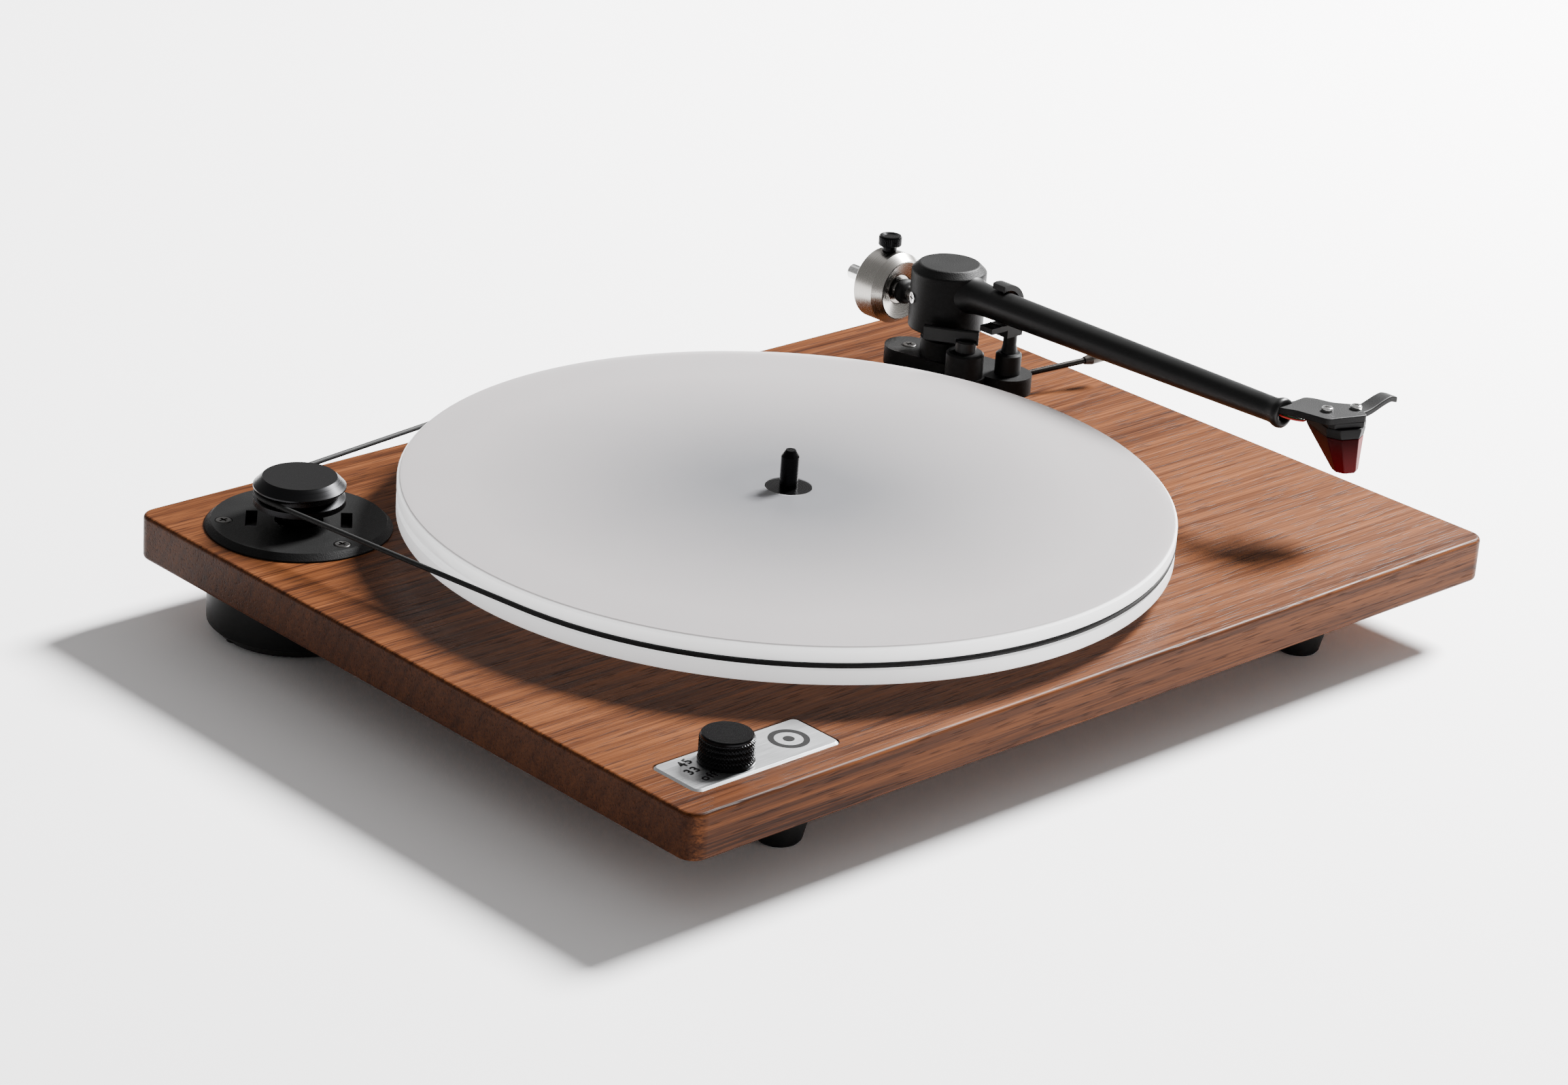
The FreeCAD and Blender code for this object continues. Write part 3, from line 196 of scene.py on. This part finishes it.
def walnut():
    look = walnutLook
    paint = Paint("walnut", {"Specular IOR Level": look["specular"]})
    _, y, z = paint.axes()
    sway = paint.noise(1, 3, (2.4, 8, 8)) - 0.5
    cathedral = paint.noise(1, 1.5, (1.5, 3.4, 3.4), shift=(3.1, 0.4, 0)) - 0.5
    ring = (y + z * look["slope"]) * look["rings"] + sway * look["sway"] + cathedral * look["cathedral"]
    growth = ring.maths("FRACT", ring).ramp((0, 0.0), (0.2, 0.62), (0.66, 1.0), (0.9, 0.4), (1, 0.0))
    streak = paint.noise(1, 4, (4.5, 380, 380), 0.7).spread(*look["contrast"])
    band = paint.noise(1, 3, (1.8, 62, 62), 0.6, shift=(0.7, 1.2, 0)).spread(*look["contrast"])
    broad = paint.noise(1, 3, (1.6, 13, 13), 0.6, shift=(0, 2.2, 0)).spread(*look["contrast"])
    fine = paint.noise(1, 2, (20, 1500, 1500), 0.6).spread(*look["contrast"])
    pores = paint.noise(1, 1, (70, 950, 950), shift=(1.7, 0, 0)).spread(*look["poreRange"])
    tone = growth * 0.14 + streak * 0.3 + band * 0.16 + broad * 0.16 + fine * 0.24
    wood = tone.ramp((0.2, look["dark"]), (0.46, look["mid"]), (0.78, look["light"]))
    wood = paint.blend(pores * 0.5, wood, look["pore"])
    facing = paint.node("ShaderNodeNewGeometry", output="Normal")
    endGrain = abs(paint.node("ShaderNodeSeparateXYZ", {}, {0: facing})).spread(*look["endFacing"])
    speckle = paint.noise(1, 4, (500, 420, 110), 0.7).spread(0.3, 0.7)
    endTone = (speckle * 0.6 + broad * 0.2 + band * 0.2).ramp((0.2, look["dark"]), (0.8, look["end"]))
    paint.set("Base Color", paint.blend(endGrain * 0.7, wood, endTone))
    paint.set("Roughness", pores * 0.1 + streak * 0.1 + look["roughness"])
    paint.emboss(streak * 0.2 + fine * 0.2 - pores * 0.9, look["depth"], 0.5)
    return paint.material


# frosted acrylic with painted light and shade: the rim is painted lighter than the top face (painted light of
# the lit acrylic edge), the top face is painted darker towards the centre (painted shade of the hub under the
# acrylic), and the rim's emission is painted light
acrylicLook = {
    "rim": (0.72, 0.72, 0.72), "paintedEdgeLight": (0.62, 0.62, 0.625), "top": (0.275, 0.258, 0.259),
    "middle": (0.105, 0.106, 0.113), "inner": 0.022, "outer": 0.125, "centre": (-0.0232, -0.0011, 0),
    "edgeHeights": (0.0631, 0.0636), "cloud": 0.25, "roughness": 0.3, "depth": 0.00002}


def acrylic():
    look = acrylicLook
    paint = Paint("frostedAcrylic", {"Subsurface Weight": 0.4, "Subsurface Scale": 0.03,
                                     "Subsurface Radius": (1, 1, 1), "Emission Strength": 1.0})
    frost = paint.noise(2600, 2)
    cloud = paint.noise(9, 2)
    fromCentre = paint.coordinates(shift=tuple(-c for c in look["centre"]))
    level = paint.vector("MULTIPLY", fromCentre, (1, 1, 0))
    reach = paint.vector("LENGTH", level, output="Value")
    outward = reach.spread(look["inner"], look["outer"]) + (cloud - 0.5) * look["cloud"]
    # top face painted darker towards the centre: painted shade of the hub under the acrylic
    face = paint.blend(outward, look["middle"], look["top"])
    # rim and underside painted lighter than the top face: painted light of the lit acrylic edge
    rim = paint.axes()[2].spread(*look["edgeHeights"], 1, 0)
    paint.set("Base Color", paint.blend(rim, face, look["rim"]))
    # the rim's emission is painted light: a glow standing in for light passing through the acrylic edge
    paint.set("Emission Color", paint.blend(rim, (0, 0, 0), look["paintedEdgeLight"]))
    paint.set("Roughness", frost * 0.08 + cloud * 0.06 + look["roughness"])
    paint.emboss(frost, look["depth"], 0.5)
    return paint.material


def coated(name, colour, grit, depth, roughness, vary=0.12, metal=0.0, shine=0.5):
    paint = Paint(name, {"Metallic": metal, "Specular IOR Level": shine})
    grain = paint.noise(grit, 2, rough=0.6)
    wear = paint.noise(60, 3)
    worn = tuple(c * 1.4 + 0.001 for c in colour)
    paint.set("Base Color", paint.blend(wear.spread(0.35, 0.75), colour, worn))
    paint.set("Roughness", roughness + (grain - 0.5) * vary + (wear - 0.5) * 0.08)
    paint.emboss(grain, depth, 0.8)
    return paint.material


def turnedMetal(name, colour, centre, axis, roughness, rings):
    # cut marks run round the axis, so they vary with the distance along it and from it
    paint = Paint(name, {"Metallic": 1.0})
    spot = paint.coordinates(shift=tuple(-c for c in centre))
    along = paint.vector("DOT_PRODUCT", spot, axis, "Value")
    reach = paint.vector("LENGTH", spot, output="Value")
    out = abs(reach * reach - along * along) ** 0.5
    cut = paint.node("ShaderNodeTexNoise", {"noise_dimensions": "1D"}, {
        "W": along + out * 1.37, "Scale": rings, "Detail": 2})
    smear = paint.noise(45, 2)
    smeared = tuple(c * 0.82 for c in colour)
    paint.set("Base Color", paint.blend(smear.spread(0.3, 0.8), colour, smeared))
    paint.set("Roughness", roughness + (cut - 0.5) * 0.22 + (smear - 0.5) * 0.06)
    paint.emboss(cut, 0.00001, 0.6)
    return paint.material


def brushed(name, colour, stretch, roughness, depth=0.00001):
    paint = Paint(name, {"Metallic": 1.0})
    lines = paint.noise(1, 3, stretch, 0.7)
    patch = paint.noise(40, 2)
    scored = tuple(c * 0.8 for c in colour)
    paint.set("Base Color", paint.blend(lines.spread(0.35, 0.65), scored, colour))
    paint.set("Roughness", roughness + (lines - 0.5) * 0.24 + (patch - 0.5) * 0.06)
    paint.emboss(lines, depth, 0.5)
    return paint.material


# red stylus unit: facets turned towards the key light (+X) are painted a lighter red, a painted highlight of the
# lit side
rubyLook = {"upper": (0.020, 0.0006, 0.0010), "lower": (0.075, 0.0012, 0.0026), "paintedLitSide": (0.22, 0.002, 0.005),
            "heights": (0.081, 0.069), "facing": (0.9, -0.3, 0), "paintedLightRange": (0.35, 0.75),
            "specular": 0.05, "roughness": 0.32}


def ruby():
    look = rubyLook
    paint = Paint("redPlastic", {"Specular IOR Level": look["specular"]})
    normal = paint.node("ShaderNodeNewGeometry", output="Normal")
    # mask of facets facing the key light, which get the painted lit-side red
    towards = paint.vector("DOT_PRODUCT", normal, look["facing"], "Value").spread(*look["paintedLightRange"])
    low = paint.axes()[2].spread(*look["heights"])
    haze = paint.noise(500, 2)
    shade = paint.blend(low, look["upper"], look["lower"])
    # lighter red on the lit facets: painted light
    paint.set("Base Color", paint.blend(towards, shade, look["paintedLitSide"]))
    paint.set("Roughness", look["roughness"] + haze * 0.08)
    return paint.material


boardLook = {"track": (0.10, 0.30, 0.12), "mask": (0.02, 0.11, 0.045), "cells": 260, "roughness": 0.35}


def circuitBoard():
    paint = Paint("boardGreen")
    tracks = paint.node("ShaderNodeTexVoronoi", {"feature": "DISTANCE_TO_EDGE"}, {"Scale": boardLook["cells"]})
    grime = paint.noise(90, 2)
    paint.set("Base Color", paint.blend(tracks.spread(0.04, 0.07), boardLook["track"], boardLook["mask"]))
    paint.set("Roughness", boardLook["roughness"] + grime * 0.2)
    return paint.material


pivot = Vector((0.152, 0.0886, 0.0847))
motorSpot = Vector((-0.170, 0.1131, 0.05))
knobSpot = Vector((-0.1748, -0.1336, 0.0427))
finishes = {
    "walnut": walnut(),
    "frosted_acrylic": acrylic(),
    "black_anodised": turnedMetal("blackAnodised", (0.017, 0.017, 0.018), motorSpot, (0, 0, 1), 0.3, 3200),
    "brushed_aluminium": brushed("brushedAluminium", (0.56, 0.57, 0.58), (60, 3200, 3200), 0.36, 0.00002),
    "turned_steel": turnedMetal("turnedSteel", (0.40, 0.385, 0.36), pivot + Vector((0, 0, -0.0094)),
                                (0, 0.9999, -0.0143), 0.27, 2400),
    "polished_steel": brushed("polishedSteel", (0.80, 0.80, 0.79), (900, 900, 900), 0.16),
    "blackened_steel": coated("blackenedSteel", (0.05, 0.048, 0.046), 2400, 0.00001, 0.33, metal=0.9),
    "galvanised_steel": brushed("zincPlate", (0.55, 0.55, 0.56), (500, 700, 500), 0.38),
    "black_powder_coat": coated("blackPowderCoat", (0.003, 0.003, 0.003), 1900, 0.00012, 0.5, 0.2, shine=0.1),
    "black_satin_coat": coated("blackSatinCoat", (0.002, 0.002, 0.002), 3600, 0.00001, 0.38, shine=0.2),
    "black_plastic": coated("blackPlastic", (0.003, 0.003, 0.003), 2600, 0.00002, 0.48, shine=0.12),
    "red_plastic": ruby(),
    "rubber": coated("rubber", (0.004, 0.004, 0.004), 1500, 0.00003, 0.66, shine=0.2),
    "dark_steel": brushed("darkSteel", (0.062, 0.055, 0.049), (900, 900, 900), 0.42),
    "brass": brushed("brass", (0.78, 0.58, 0.28), (700, 700, 700), 0.3),
    "board_green": circuitBoard(),
}
for hue, colour in (("red", (0.30, 0.015, 0.012)), ("green", (0.02, 0.36, 0.10)),
                    ("white", (0.55, 0.55, 0.54)), ("blue", (0.03, 0.10, 0.55))):
    finishes["lead_" + hue] = coated("lead" + hue.title(), colour, 1200, 0.00001, 0.4)


def middle(nodeName):  # centre of a node's box
    corners = [Vector(corner) for corner in frame["nodes"][nodeName].bound_box]
    return sum(corners, Vector()) / len(corners)


nodeFinishes = {}
for name in ("knob", "spindle", "platter_hub", "thumbscrew"):
    nodeFinishes[name] = turnedMetal("turnedBlack_" + name, (0.008, 0.008, 0.0085), middle(name),
                                     (0, 0, 1), 0.26, 3200)
nodeFinishes["cue_lever"] = brushed("blackenedRod", (0.014, 0.0125, 0.011), (900, 900, 900), 0.34)
nodeSlots = {entry["node"]: entry["material_slot"] for entry in frame["record"]["subparts"]}
for nodeName, owner in frame["nodes"].items():
    owner.data.materials.clear()
    owner.data.materials.append(nodeFinishes.get(nodeName, finishes[nodeSlots[nodeName]]))
print("finishes on", len(nodeSlots), "parts")

# ---- modelling helpers
bodies = frame["record"]["behaviour"]["bodies"]
nodeBody = {member: name for name, members in bodies.items() for member in members}
softEdge = {"segments": 3, "angle": 28}


def finishPiece(name, shape, node, place=None, bevel=0.0, slotName=None, standsFor=True, sharp=40):
    # turns a bmesh into a piece that rides with the body of `node` and takes its finish
    if place:
        bmesh.ops.transform(shape, matrix=place, verts=shape.verts)
    mesh = bpy.data.meshes.new(name)
    shape.to_mesh(mesh)
    shape.free()
    for face in mesh.polygons:
        face.use_smooth = True
    mesh.set_sharp_from_angle(angle=math.radians(sharp))
    made = bpy.data.objects.new(name, mesh)
    bpy.context.collection.objects.link(made)
    if bevel:
        edge = made.modifiers.new("softEdges", "BEVEL")
        edge.width, edge.segments, edge.limit_method = bevel, softEdge["segments"], "ANGLE"
        edge.angle_limit = math.radians(softEdge["angle"])
        edge.use_clamp_overlap = True
    slotName = slotName or nodeSlots[node]
    mesh.materials.append(nodeFinishes.get(node, finishes[slotName]))
    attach(made, nodeBody[node])
    if standsFor:
        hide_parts(node)


def lathe(profile, steps):  # profile is (radius, height) in mm, turned about Z
    shape = bmesh.new()
    rim = [shape.verts.new((radius * mm, 0, height * mm)) for radius, height in profile]
    for pair in zip(rim, rim[1:]):
        shape.edges.new(pair)
    bmesh.ops.spin(shape, geom=shape.verts[:] + shape.edges[:], cent=(0, 0, 0), axis=(0, 0, 1),
                   angle=fullTurn, steps=steps, use_merge=True, use_duplicate=False)
    bmesh.ops.remove_doubles(shape, verts=shape.verts, dist=1e-7)
    bmesh.ops.recalc_face_normals(shape, faces=shape.faces)
    return shape


def slab(outline, low, high, corner):  # a flat outline in mm, its corners rounded, given a thickness
    shape = bmesh.new()
    rim = [shape.verts.new((x * mm, y * mm, low * mm)) for x, y in outline]
    shape.faces.new(rim)
    bmesh.ops.bevel(shape, geom=rim, affect="VERTICES", offset=corner * mm, segments=5,
                    profile=0.5, material=-1)
    grown = bmesh.ops.extrude_face_region(shape, geom=shape.faces[:])
    lifted = [item for item in grown["geom"] if isinstance(item, bmesh.types.BMVert)]
    bmesh.ops.translate(shape, verts=lifted, vec=(0, 0, (high - low) * mm))
    bmesh.ops.recalc_face_normals(shape, faces=shape.faces)
    return shape


def stack(rings):  # a closed shell through flat rings of (height, outline) in mm
    shape = bmesh.new()
    loops = []
    for height, outline in rings:
        rim = [shape.verts.new((x * mm, y * mm, height * mm)) for x, y in outline]
        loops.append([shape.edges.new(pair) for pair in zip(rim, rim[1:] + rim[:1])])
        if height in (rings[0][0], rings[-1][0]):
            shape.faces.new(rim)
    for upper, lower in zip(loops, loops[1:]):
        bmesh.ops.bridge_loops(shape, edges=upper + lower)
    bmesh.ops.recalc_face_normals(shape, faces=shape.faces)
    return shape


# ---- tonearm: housing, tube, headshell and finger lift
arm = {"tilt": 0.82, "offset": 23.4, "housing": 16, "top": 10.5, "bottom": -17.7, "chamfer": 3.1,
       "chamferDrop": 3, "wall": 3.3, "ceiling": 6, "tubeEnd": 186.5, "root": 6.65, "end": 5.0,
       "lip": 6.2, "bore": 3.1, "boreDepth": 16, "mount": (14.95, -202.7),
       "shellLow": 0.8, "shellHigh": 3.6, "shellCorner": 1.6}
armPlace = Matrix.Translation(pivot) @ Matrix.Rotation(math.radians(-arm["tilt"]), 4, "X")
alongArm = armPlace @ Matrix.Rotation(math.radians(90), 4, "X")
mountX, mountY = arm["mount"]

outer, inner = arm["housing"], arm["housing"] - arm["wall"]
housing = lathe([(0, arm["top"]), (outer - arm["chamfer"], arm["top"]), (outer, arm["top"] - arm["chamferDrop"]),
                 (outer, arm["bottom"]), (inner, arm["bottom"]), (inner, arm["ceiling"]),
                 (0, arm["ceiling"])], 128)
finishPiece("armHousing", housing, "tonearm_wand", armPlace, 0.5 * mm)

root, end, lip, bore, mouth = arm["root"], arm["end"], arm["lip"], arm["bore"], arm["tubeEnd"]
tube = lathe([(0, 12.8), (9.6, 12.8), (8.6, 14.4), (7.7, 16.2), (7.1, 19), (6.8, 23), (root, 30),
              (end + 0.1, mouth - 7), (end + 0.25, mouth - 4.6), (lip - 0.2, mouth - 2.8),
              (lip, mouth - 1.6), (lip - 0.25, mouth - 0.4), (lip - 0.9, mouth + 0.1),
              (bore + 0.4, mouth + 0.1), (bore, mouth - 0.4), (bore, mouth - arm["boreDepth"]),
              (0, mouth - arm["boreDepth"])], 72)
finishPiece("armTube", tube, "tonearm_wand", alongArm, slotName="black_satin_coat", sharp=60)

shell = slab([(-4.4, -183.4), (-3.7, -187.6), (-0.9, -192.5), (1.7, -206.7), (18.8, -212.8), (25, -201.9),
              (18.8, -195), (16.7, -187.7), (14.2, -184.3), (6.4, -184.9), (3.4, -183.4)],
             arm["shellLow"], arm["shellHigh"], arm["shellCorner"])
finishPiece("headshell", shell, "tonearm_wand", armPlace, 0.4 * mm)

fingerLook = {"start": 20.5, "reach": 22.6, "middle": -204.4, "half": 3.5, "thick": 2.5, "low": 2.5,
              "rise": 3.3, "curl": 1.1, "curlFrom": 0.84, "skew": 0.6, "taper": 0.12}
finger = bmesh.new()
bmesh.ops.create_grid(finger, x_segments=18, y_segments=4, size=0.5)
for spot in finger.verts:
    along, across = spot.co.x + 0.5, spot.co.y * 2
    climb = min(1, max(0, along * 1.32 - 0.18))
    lift = fingerLook["rise"] * (0.5 - 0.5 * math.cos(math.pi * climb))
    curl = fingerLook["curl"] * max(0, along - fingerLook["curlFrom"]) / (1 - fingerLook["curlFrom"])
    half = fingerLook["half"] * (1 - fingerLook["taper"] * along)
    spot.co = Vector((fingerLook["start"] + fingerLook["reach"] * along,
                      fingerLook["middle"] - fingerLook["skew"] * along + across * half,
                      fingerLook["low"] + lift - curl)) * mm
bmesh.ops.solidify(finger, geom=finger.faces[:], thickness=fingerLook["thick"] * mm)
bmesh.ops.recalc_face_normals(finger, faces=finger.faces)
finishPiece("fingerLift", finger, "tonearm_wand", armPlace, 0.5 * mm)

# ---- cartridge: collar, body and red stylus unit
cartridge = {"spacer": 2.2, "low": 6.2, "foot": 19.7, "pins": (-4.5, -1.5, 1.5, 4.5), "pinRoot": 0.6,
             "pinTip": 0.55, "pinLength": 5.6, "pinMiddle": (15.7, -4.1)}
cartridgePlace = (armPlace @ Matrix.Translation(Vector((mountX, mountY, arm["shellLow"])) * mm)
                  @ Matrix.Rotation(math.radians(-arm["offset"]), 4, "Z"))


def nosed(half, rear, front, nose):  # square at the rear, cut corners at the front
    return [(-half, rear), (half, rear), (half, front + nose), (half - nose, front),
            (-half + nose, front), (-half, front + nose)]


collar = stack([(0, nosed(8.4, 10, -7.6, 2)), (-cartridge["spacer"], nosed(8.4, 10, -7.6, 2))])
finishPiece("cartridgeCollar", collar, "cartridge_spacer", cartridgePlace, 0.25 * mm)
case = stack([(-cartridge["spacer"], nosed(8.5, 15.4, -9.1, 4)), (-3.2, nosed(8.6, 15.4, -9.3, 4)),
              (-cartridge["low"], nosed(8.2, 13.4, -9.6, 4.4))])
finishPiece("cartridgeCase", case, "cartridge_body", cartridgePlace, 0.3 * mm)
jewel = stack([(-cartridge["low"] - 0.05, nosed(8.1, 13.2, -9.7, 4.4)), (-7.4, nosed(7.9, 11.9, -10, 4.4)),
               (-cartridge["foot"] + 1, nosed(5.1, -4.9, -12, 2.6)),
               (-cartridge["foot"], nosed(4.6, -5.9, -11.7, 2.4))])
finishPiece("stylusJewel", jewel, "stylus_unit", cartridgePlace, 0.3 * mm)

pins = bmesh.new()
for across in cartridge["pins"]:
    pinPlace = (Matrix.Translation(Vector((across, *cartridge["pinMiddle"])) * mm)
                @ Matrix.Rotation(math.radians(-90), 4, "X"))
    bmesh.ops.create_cone(pins, cap_ends=True, segments=20, radius1=cartridge["pinRoot"] * mm,
                          radius2=cartridge["pinTip"] * mm, depth=cartridge["pinLength"] * mm,
                          matrix=pinPlace)
finishPiece("cartridgePins", pins, "cartridge_body", cartridgePlace, slotName="brass", standsFor=False)

# ---- counterweight with a dished nose, its thumbscrew and the rubber ring
weight = {"rear": 41.4, "radius": 15.5, "drop": 9.4, "band": 11.1, "nose": 4.2, "screw": 5.4,
          "bore": 3.25, "chamfer": 0.8}
thumb = {"head": 4.9, "teeth": 40, "depth": 0.03, "steps": 160}
weightPlace = armPlace @ Matrix.Translation(Vector((0, 0, -weight["drop"])) * mm)
backward = weightPlace @ Matrix.Rotation(math.radians(-90), 4, "X")
rear, radius, bore, chamfer = weight["rear"], weight["radius"], weight["bore"], weight["chamfer"]
front = rear - weight["band"] - weight["nose"]
disc = lathe([(bore, rear), (radius - chamfer, rear), (radius, rear - chamfer),
              (radius, rear - weight["band"]), (12.9, front), (12.4, front - 0.1), (6.7, front + 2.2),
              (6.2, front + 2.6), (bore, front + 2.6), (bore, rear)], 144)
finishPiece("weightDisc", disc, "counterweight", backward, sharp=12)
grip = lathe([(0, 3.6), (1.5, 3.6), (1.5, 15.4), (3.2, 15.7), (3.2, 17.4), (4.7, 17.8), (5, 18.2), (5, 21.5),
              (4.6, 22.2), (3.7, 22.3), (2.6, 21.8), (0, 21.8)], thumb["steps"])
toothSteps = thumb["steps"] // thumb["teeth"]
for spot in grip.verts:
    reach, turn = math.hypot(spot.co.x, spot.co.y) / mm, math.atan2(spot.co.y, spot.co.x)
    if reach > thumb["head"]:
        inGap = round(turn / fullTurn * thumb["steps"]) % toothSteps < toothSteps / 2
        spot.co.xy *= 1 - thumb["depth"] * inGap
thumbPlace = weightPlace @ Matrix.Translation(Vector((0, rear - weight["screw"], 0)) * mm)
finishPiece("thumbGrip", grip, "thumbscrew", thumbPlace, sharp=20)
ring = lathe([(3.22, 22.8), (4.3, 22.8), (5, 23.3), (5.35, 24.3), (5.35, 25.7), (5, 26.8), (4.3, 27.4),
              (3.22, 27.4), (3.22, 22.8)], 72)
finishPiece("rubberRing", ring, "isolator_ring", backward, sharp=60)

# ---- knob with diamond knurling
knob = {"radius": 9.9, "height": 10.4, "margin": 1.4, "teeth": 46, "pitch": 1.36, "depth": 0.5,
        "rows": 30, "steps": 276}
top, gripTall = knob["height"], knob["height"] - 2 * knob["margin"]
rows = [(knob["radius"], knob["margin"] + gripTall * n / knob["rows"]) for n in range(knob["rows"] + 1)]
grip = lathe([(0, 0), (knob["radius"], 0), (10.1, 0.3), (10.1, 0.9), (9.7, 1.3)] + rows
             + [(9.3, top - 1.2), (9.3, top - 0.5), (8.9, top), (0, top)], knob["steps"])
closeTo = 0.05
for spot in grip.verts:
    reach = math.hypot(spot.co.x, spot.co.y) / mm
    knurled = knob["margin"] - closeTo < spot.co.z / mm < top - knob["margin"] + closeTo
    if abs(reach - knob["radius"]) < 0.01 and knurled:
        turn = math.atan2(spot.co.y, spot.co.x) / fullTurn * knob["teeth"]
        rise = spot.co.z / mm / knob["pitch"]
        cut = max(abs((turn + rise) % 1 - 0.5), abs((turn - rise) % 1 - 0.5)) * 2
        spot.co.xy *= 1 - knob["depth"] * cut / knob["radius"]
finishPiece("knobGrip", grip, "knob", Matrix.Translation(knobSpot), sharp=25)

# ---- control plate with a bevelled rim; its opening under the knob is four-sided
controlPlate = {"middle": (-165.1, -133.6), "size": (67.5, 24.2), "corner": 3, "low": 40.8, "edge": 41.55,
                "face": 42.4, "slope": 0.95, "cornerSteps": 8, "hole": ((-174.8, -133.6), 4)}


def plateOutline(inset):  # the plate seen from above, drawn in by `inset`
    (middleX, middleY), (wide, deep) = controlPlate["middle"], controlPlate["size"]
    corner, steps = controlPlate["corner"], controlPlate["cornerSteps"]
    spots = []
    for quarter, (sideX, sideY) in enumerate(((1, 1), (-1, 1), (-1, -1), (1, -1))):
        for n in range(steps + 1):
            angle = math.radians(90 * quarter + 90 * n / steps)
            spots.append((middleX + sideX * (wide / 2 - corner) + (corner - inset) * math.cos(angle),
                          middleY + sideY * (deep / 2 - corner) + (corner - inset) * math.sin(angle)))
    return spots


rimLine, faceLine = plateOutline(0), plateOutline(controlPlate["slope"])
(holeX, holeY), holeRadius = controlPlate["hole"]
holeLine = []
for x, y in rimLine:
    reach = math.hypot(x - holeX, y - holeY)
    holeLine.append((holeX + holeRadius * (x - holeX) / reach, holeY + holeRadius * (y - holeY) / reach))
low, edge, face = controlPlate["low"], controlPlate["edge"], controlPlate["face"]
plateShape = bmesh.new()
plateRings = []
levels = ((low, rimLine), (edge, rimLine), (face, faceLine), (face, holeLine), (low, holeLine))
for height, line in levels:
    plateRings.append([plateShape.verts.new((x * mm, y * mm, height * mm)) for x, y in line])
for lower, upper in zip(plateRings, plateRings[1:] + plateRings[:1]):
    for n in range(len(lower)):
        plateShape.faces.new((lower[n - 1], lower[n], upper[n], upper[n - 1]))
bmesh.ops.recalc_face_normals(plateShape, faces=plateShape.faces)
finishPiece("bevelledPlate", plateShape, "control_plate", bevel=0.12 * mm, sharp=20)

# ---- printing on the control plate
printing = {"face": 0.0424, "size": 0.0054, "ink": 0.00004, "spacing": 1.2, "bold": 0.00009,
            "labels": (("45", 14, (-187.6, -126.8)), ("33", 9, (-189.4, -132.8)), ("off", 5, (-187.8, -139.1))),
            "glyph": (-0.1452, -0.1334), "ring": 7.4, "ringWide": 2.2, "ringTall": 0.06, "dot": 2.1,
            "lift": 0.00001}
ink = Paint("printInk", {"Base Color": (0.004, 0.004, 0.004), "Specular IOR Level": 0.1})
ink.set("Roughness", ink.noise(900, 2) * 0.2 + 0.6)


def printMesh(name, mesh):
    made = bpy.data.objects.new(name, mesh)
    bpy.context.collection.objects.link(made)
    mesh.materials.clear()
    mesh.materials.append(ink.material)
    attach(made, "base")


for words, angle, (labelX, labelY) in printing["labels"]:
    letters = bpy.data.curves.new("letters", "FONT")
    letters.body, letters.size, letters.extrude = words, printing["size"], printing["ink"]
    letters.offset, letters.space_character = printing["bold"], printing["spacing"]
    letters.align_x = letters.align_y = "CENTER"
    holder = bpy.data.objects.new("letters", letters)
    mesh = bpy.data.meshes.new_from_object(holder)
    bpy.data.objects.remove(holder)
    place = Vector((labelX * mm, labelY * mm, printing["face"] + printing["ink"] * 1.2))
    mesh.transform(Matrix.Translation(place) @ Matrix.Rotation(math.radians(angle), 4, "Z"))
    printMesh("label_" + words, mesh)
outer, inner, tall = printing["ring"], printing["ring"] - printing["ringWide"], printing["ringTall"]
glyph = lathe([(inner, 0), (outer, 0), (outer, tall), (inner, tall), (inner, 0)], 72)
dot = bmesh.ops.create_circle(glyph, cap_ends=True, radius=printing["dot"] * mm, segments=40)
bmesh.ops.translate(glyph, verts=dot["verts"], vec=(0, 0, tall * mm))
bmesh.ops.translate(glyph, verts=glyph.verts, vec=(*printing["glyph"], printing["face"] + printing["lift"]))
glyphMesh = bpy.data.meshes.new("recordGlyph")
glyph.to_mesh(glyphMesh)
glyph.free()
printMesh("recordGlyph", glyphMesh)
print("pieces modelled")

# ---- floor
floor = bpy.data.objects.new("floor", bpy.data.meshes.new("floor"))
bpy.context.collection.objects.link(floor)
sheet = bmesh.new()
bmesh.ops.create_grid(sheet, x_segments=2, y_segments=2, size=floorLook["size"] / 2)
sheet.to_mesh(floor.data)
sheet.free()
paper = Paint("paperFloor", {"Base Color": floorLook["colour"], "Roughness": 0.9})
floor.data.materials.append(paper.material)
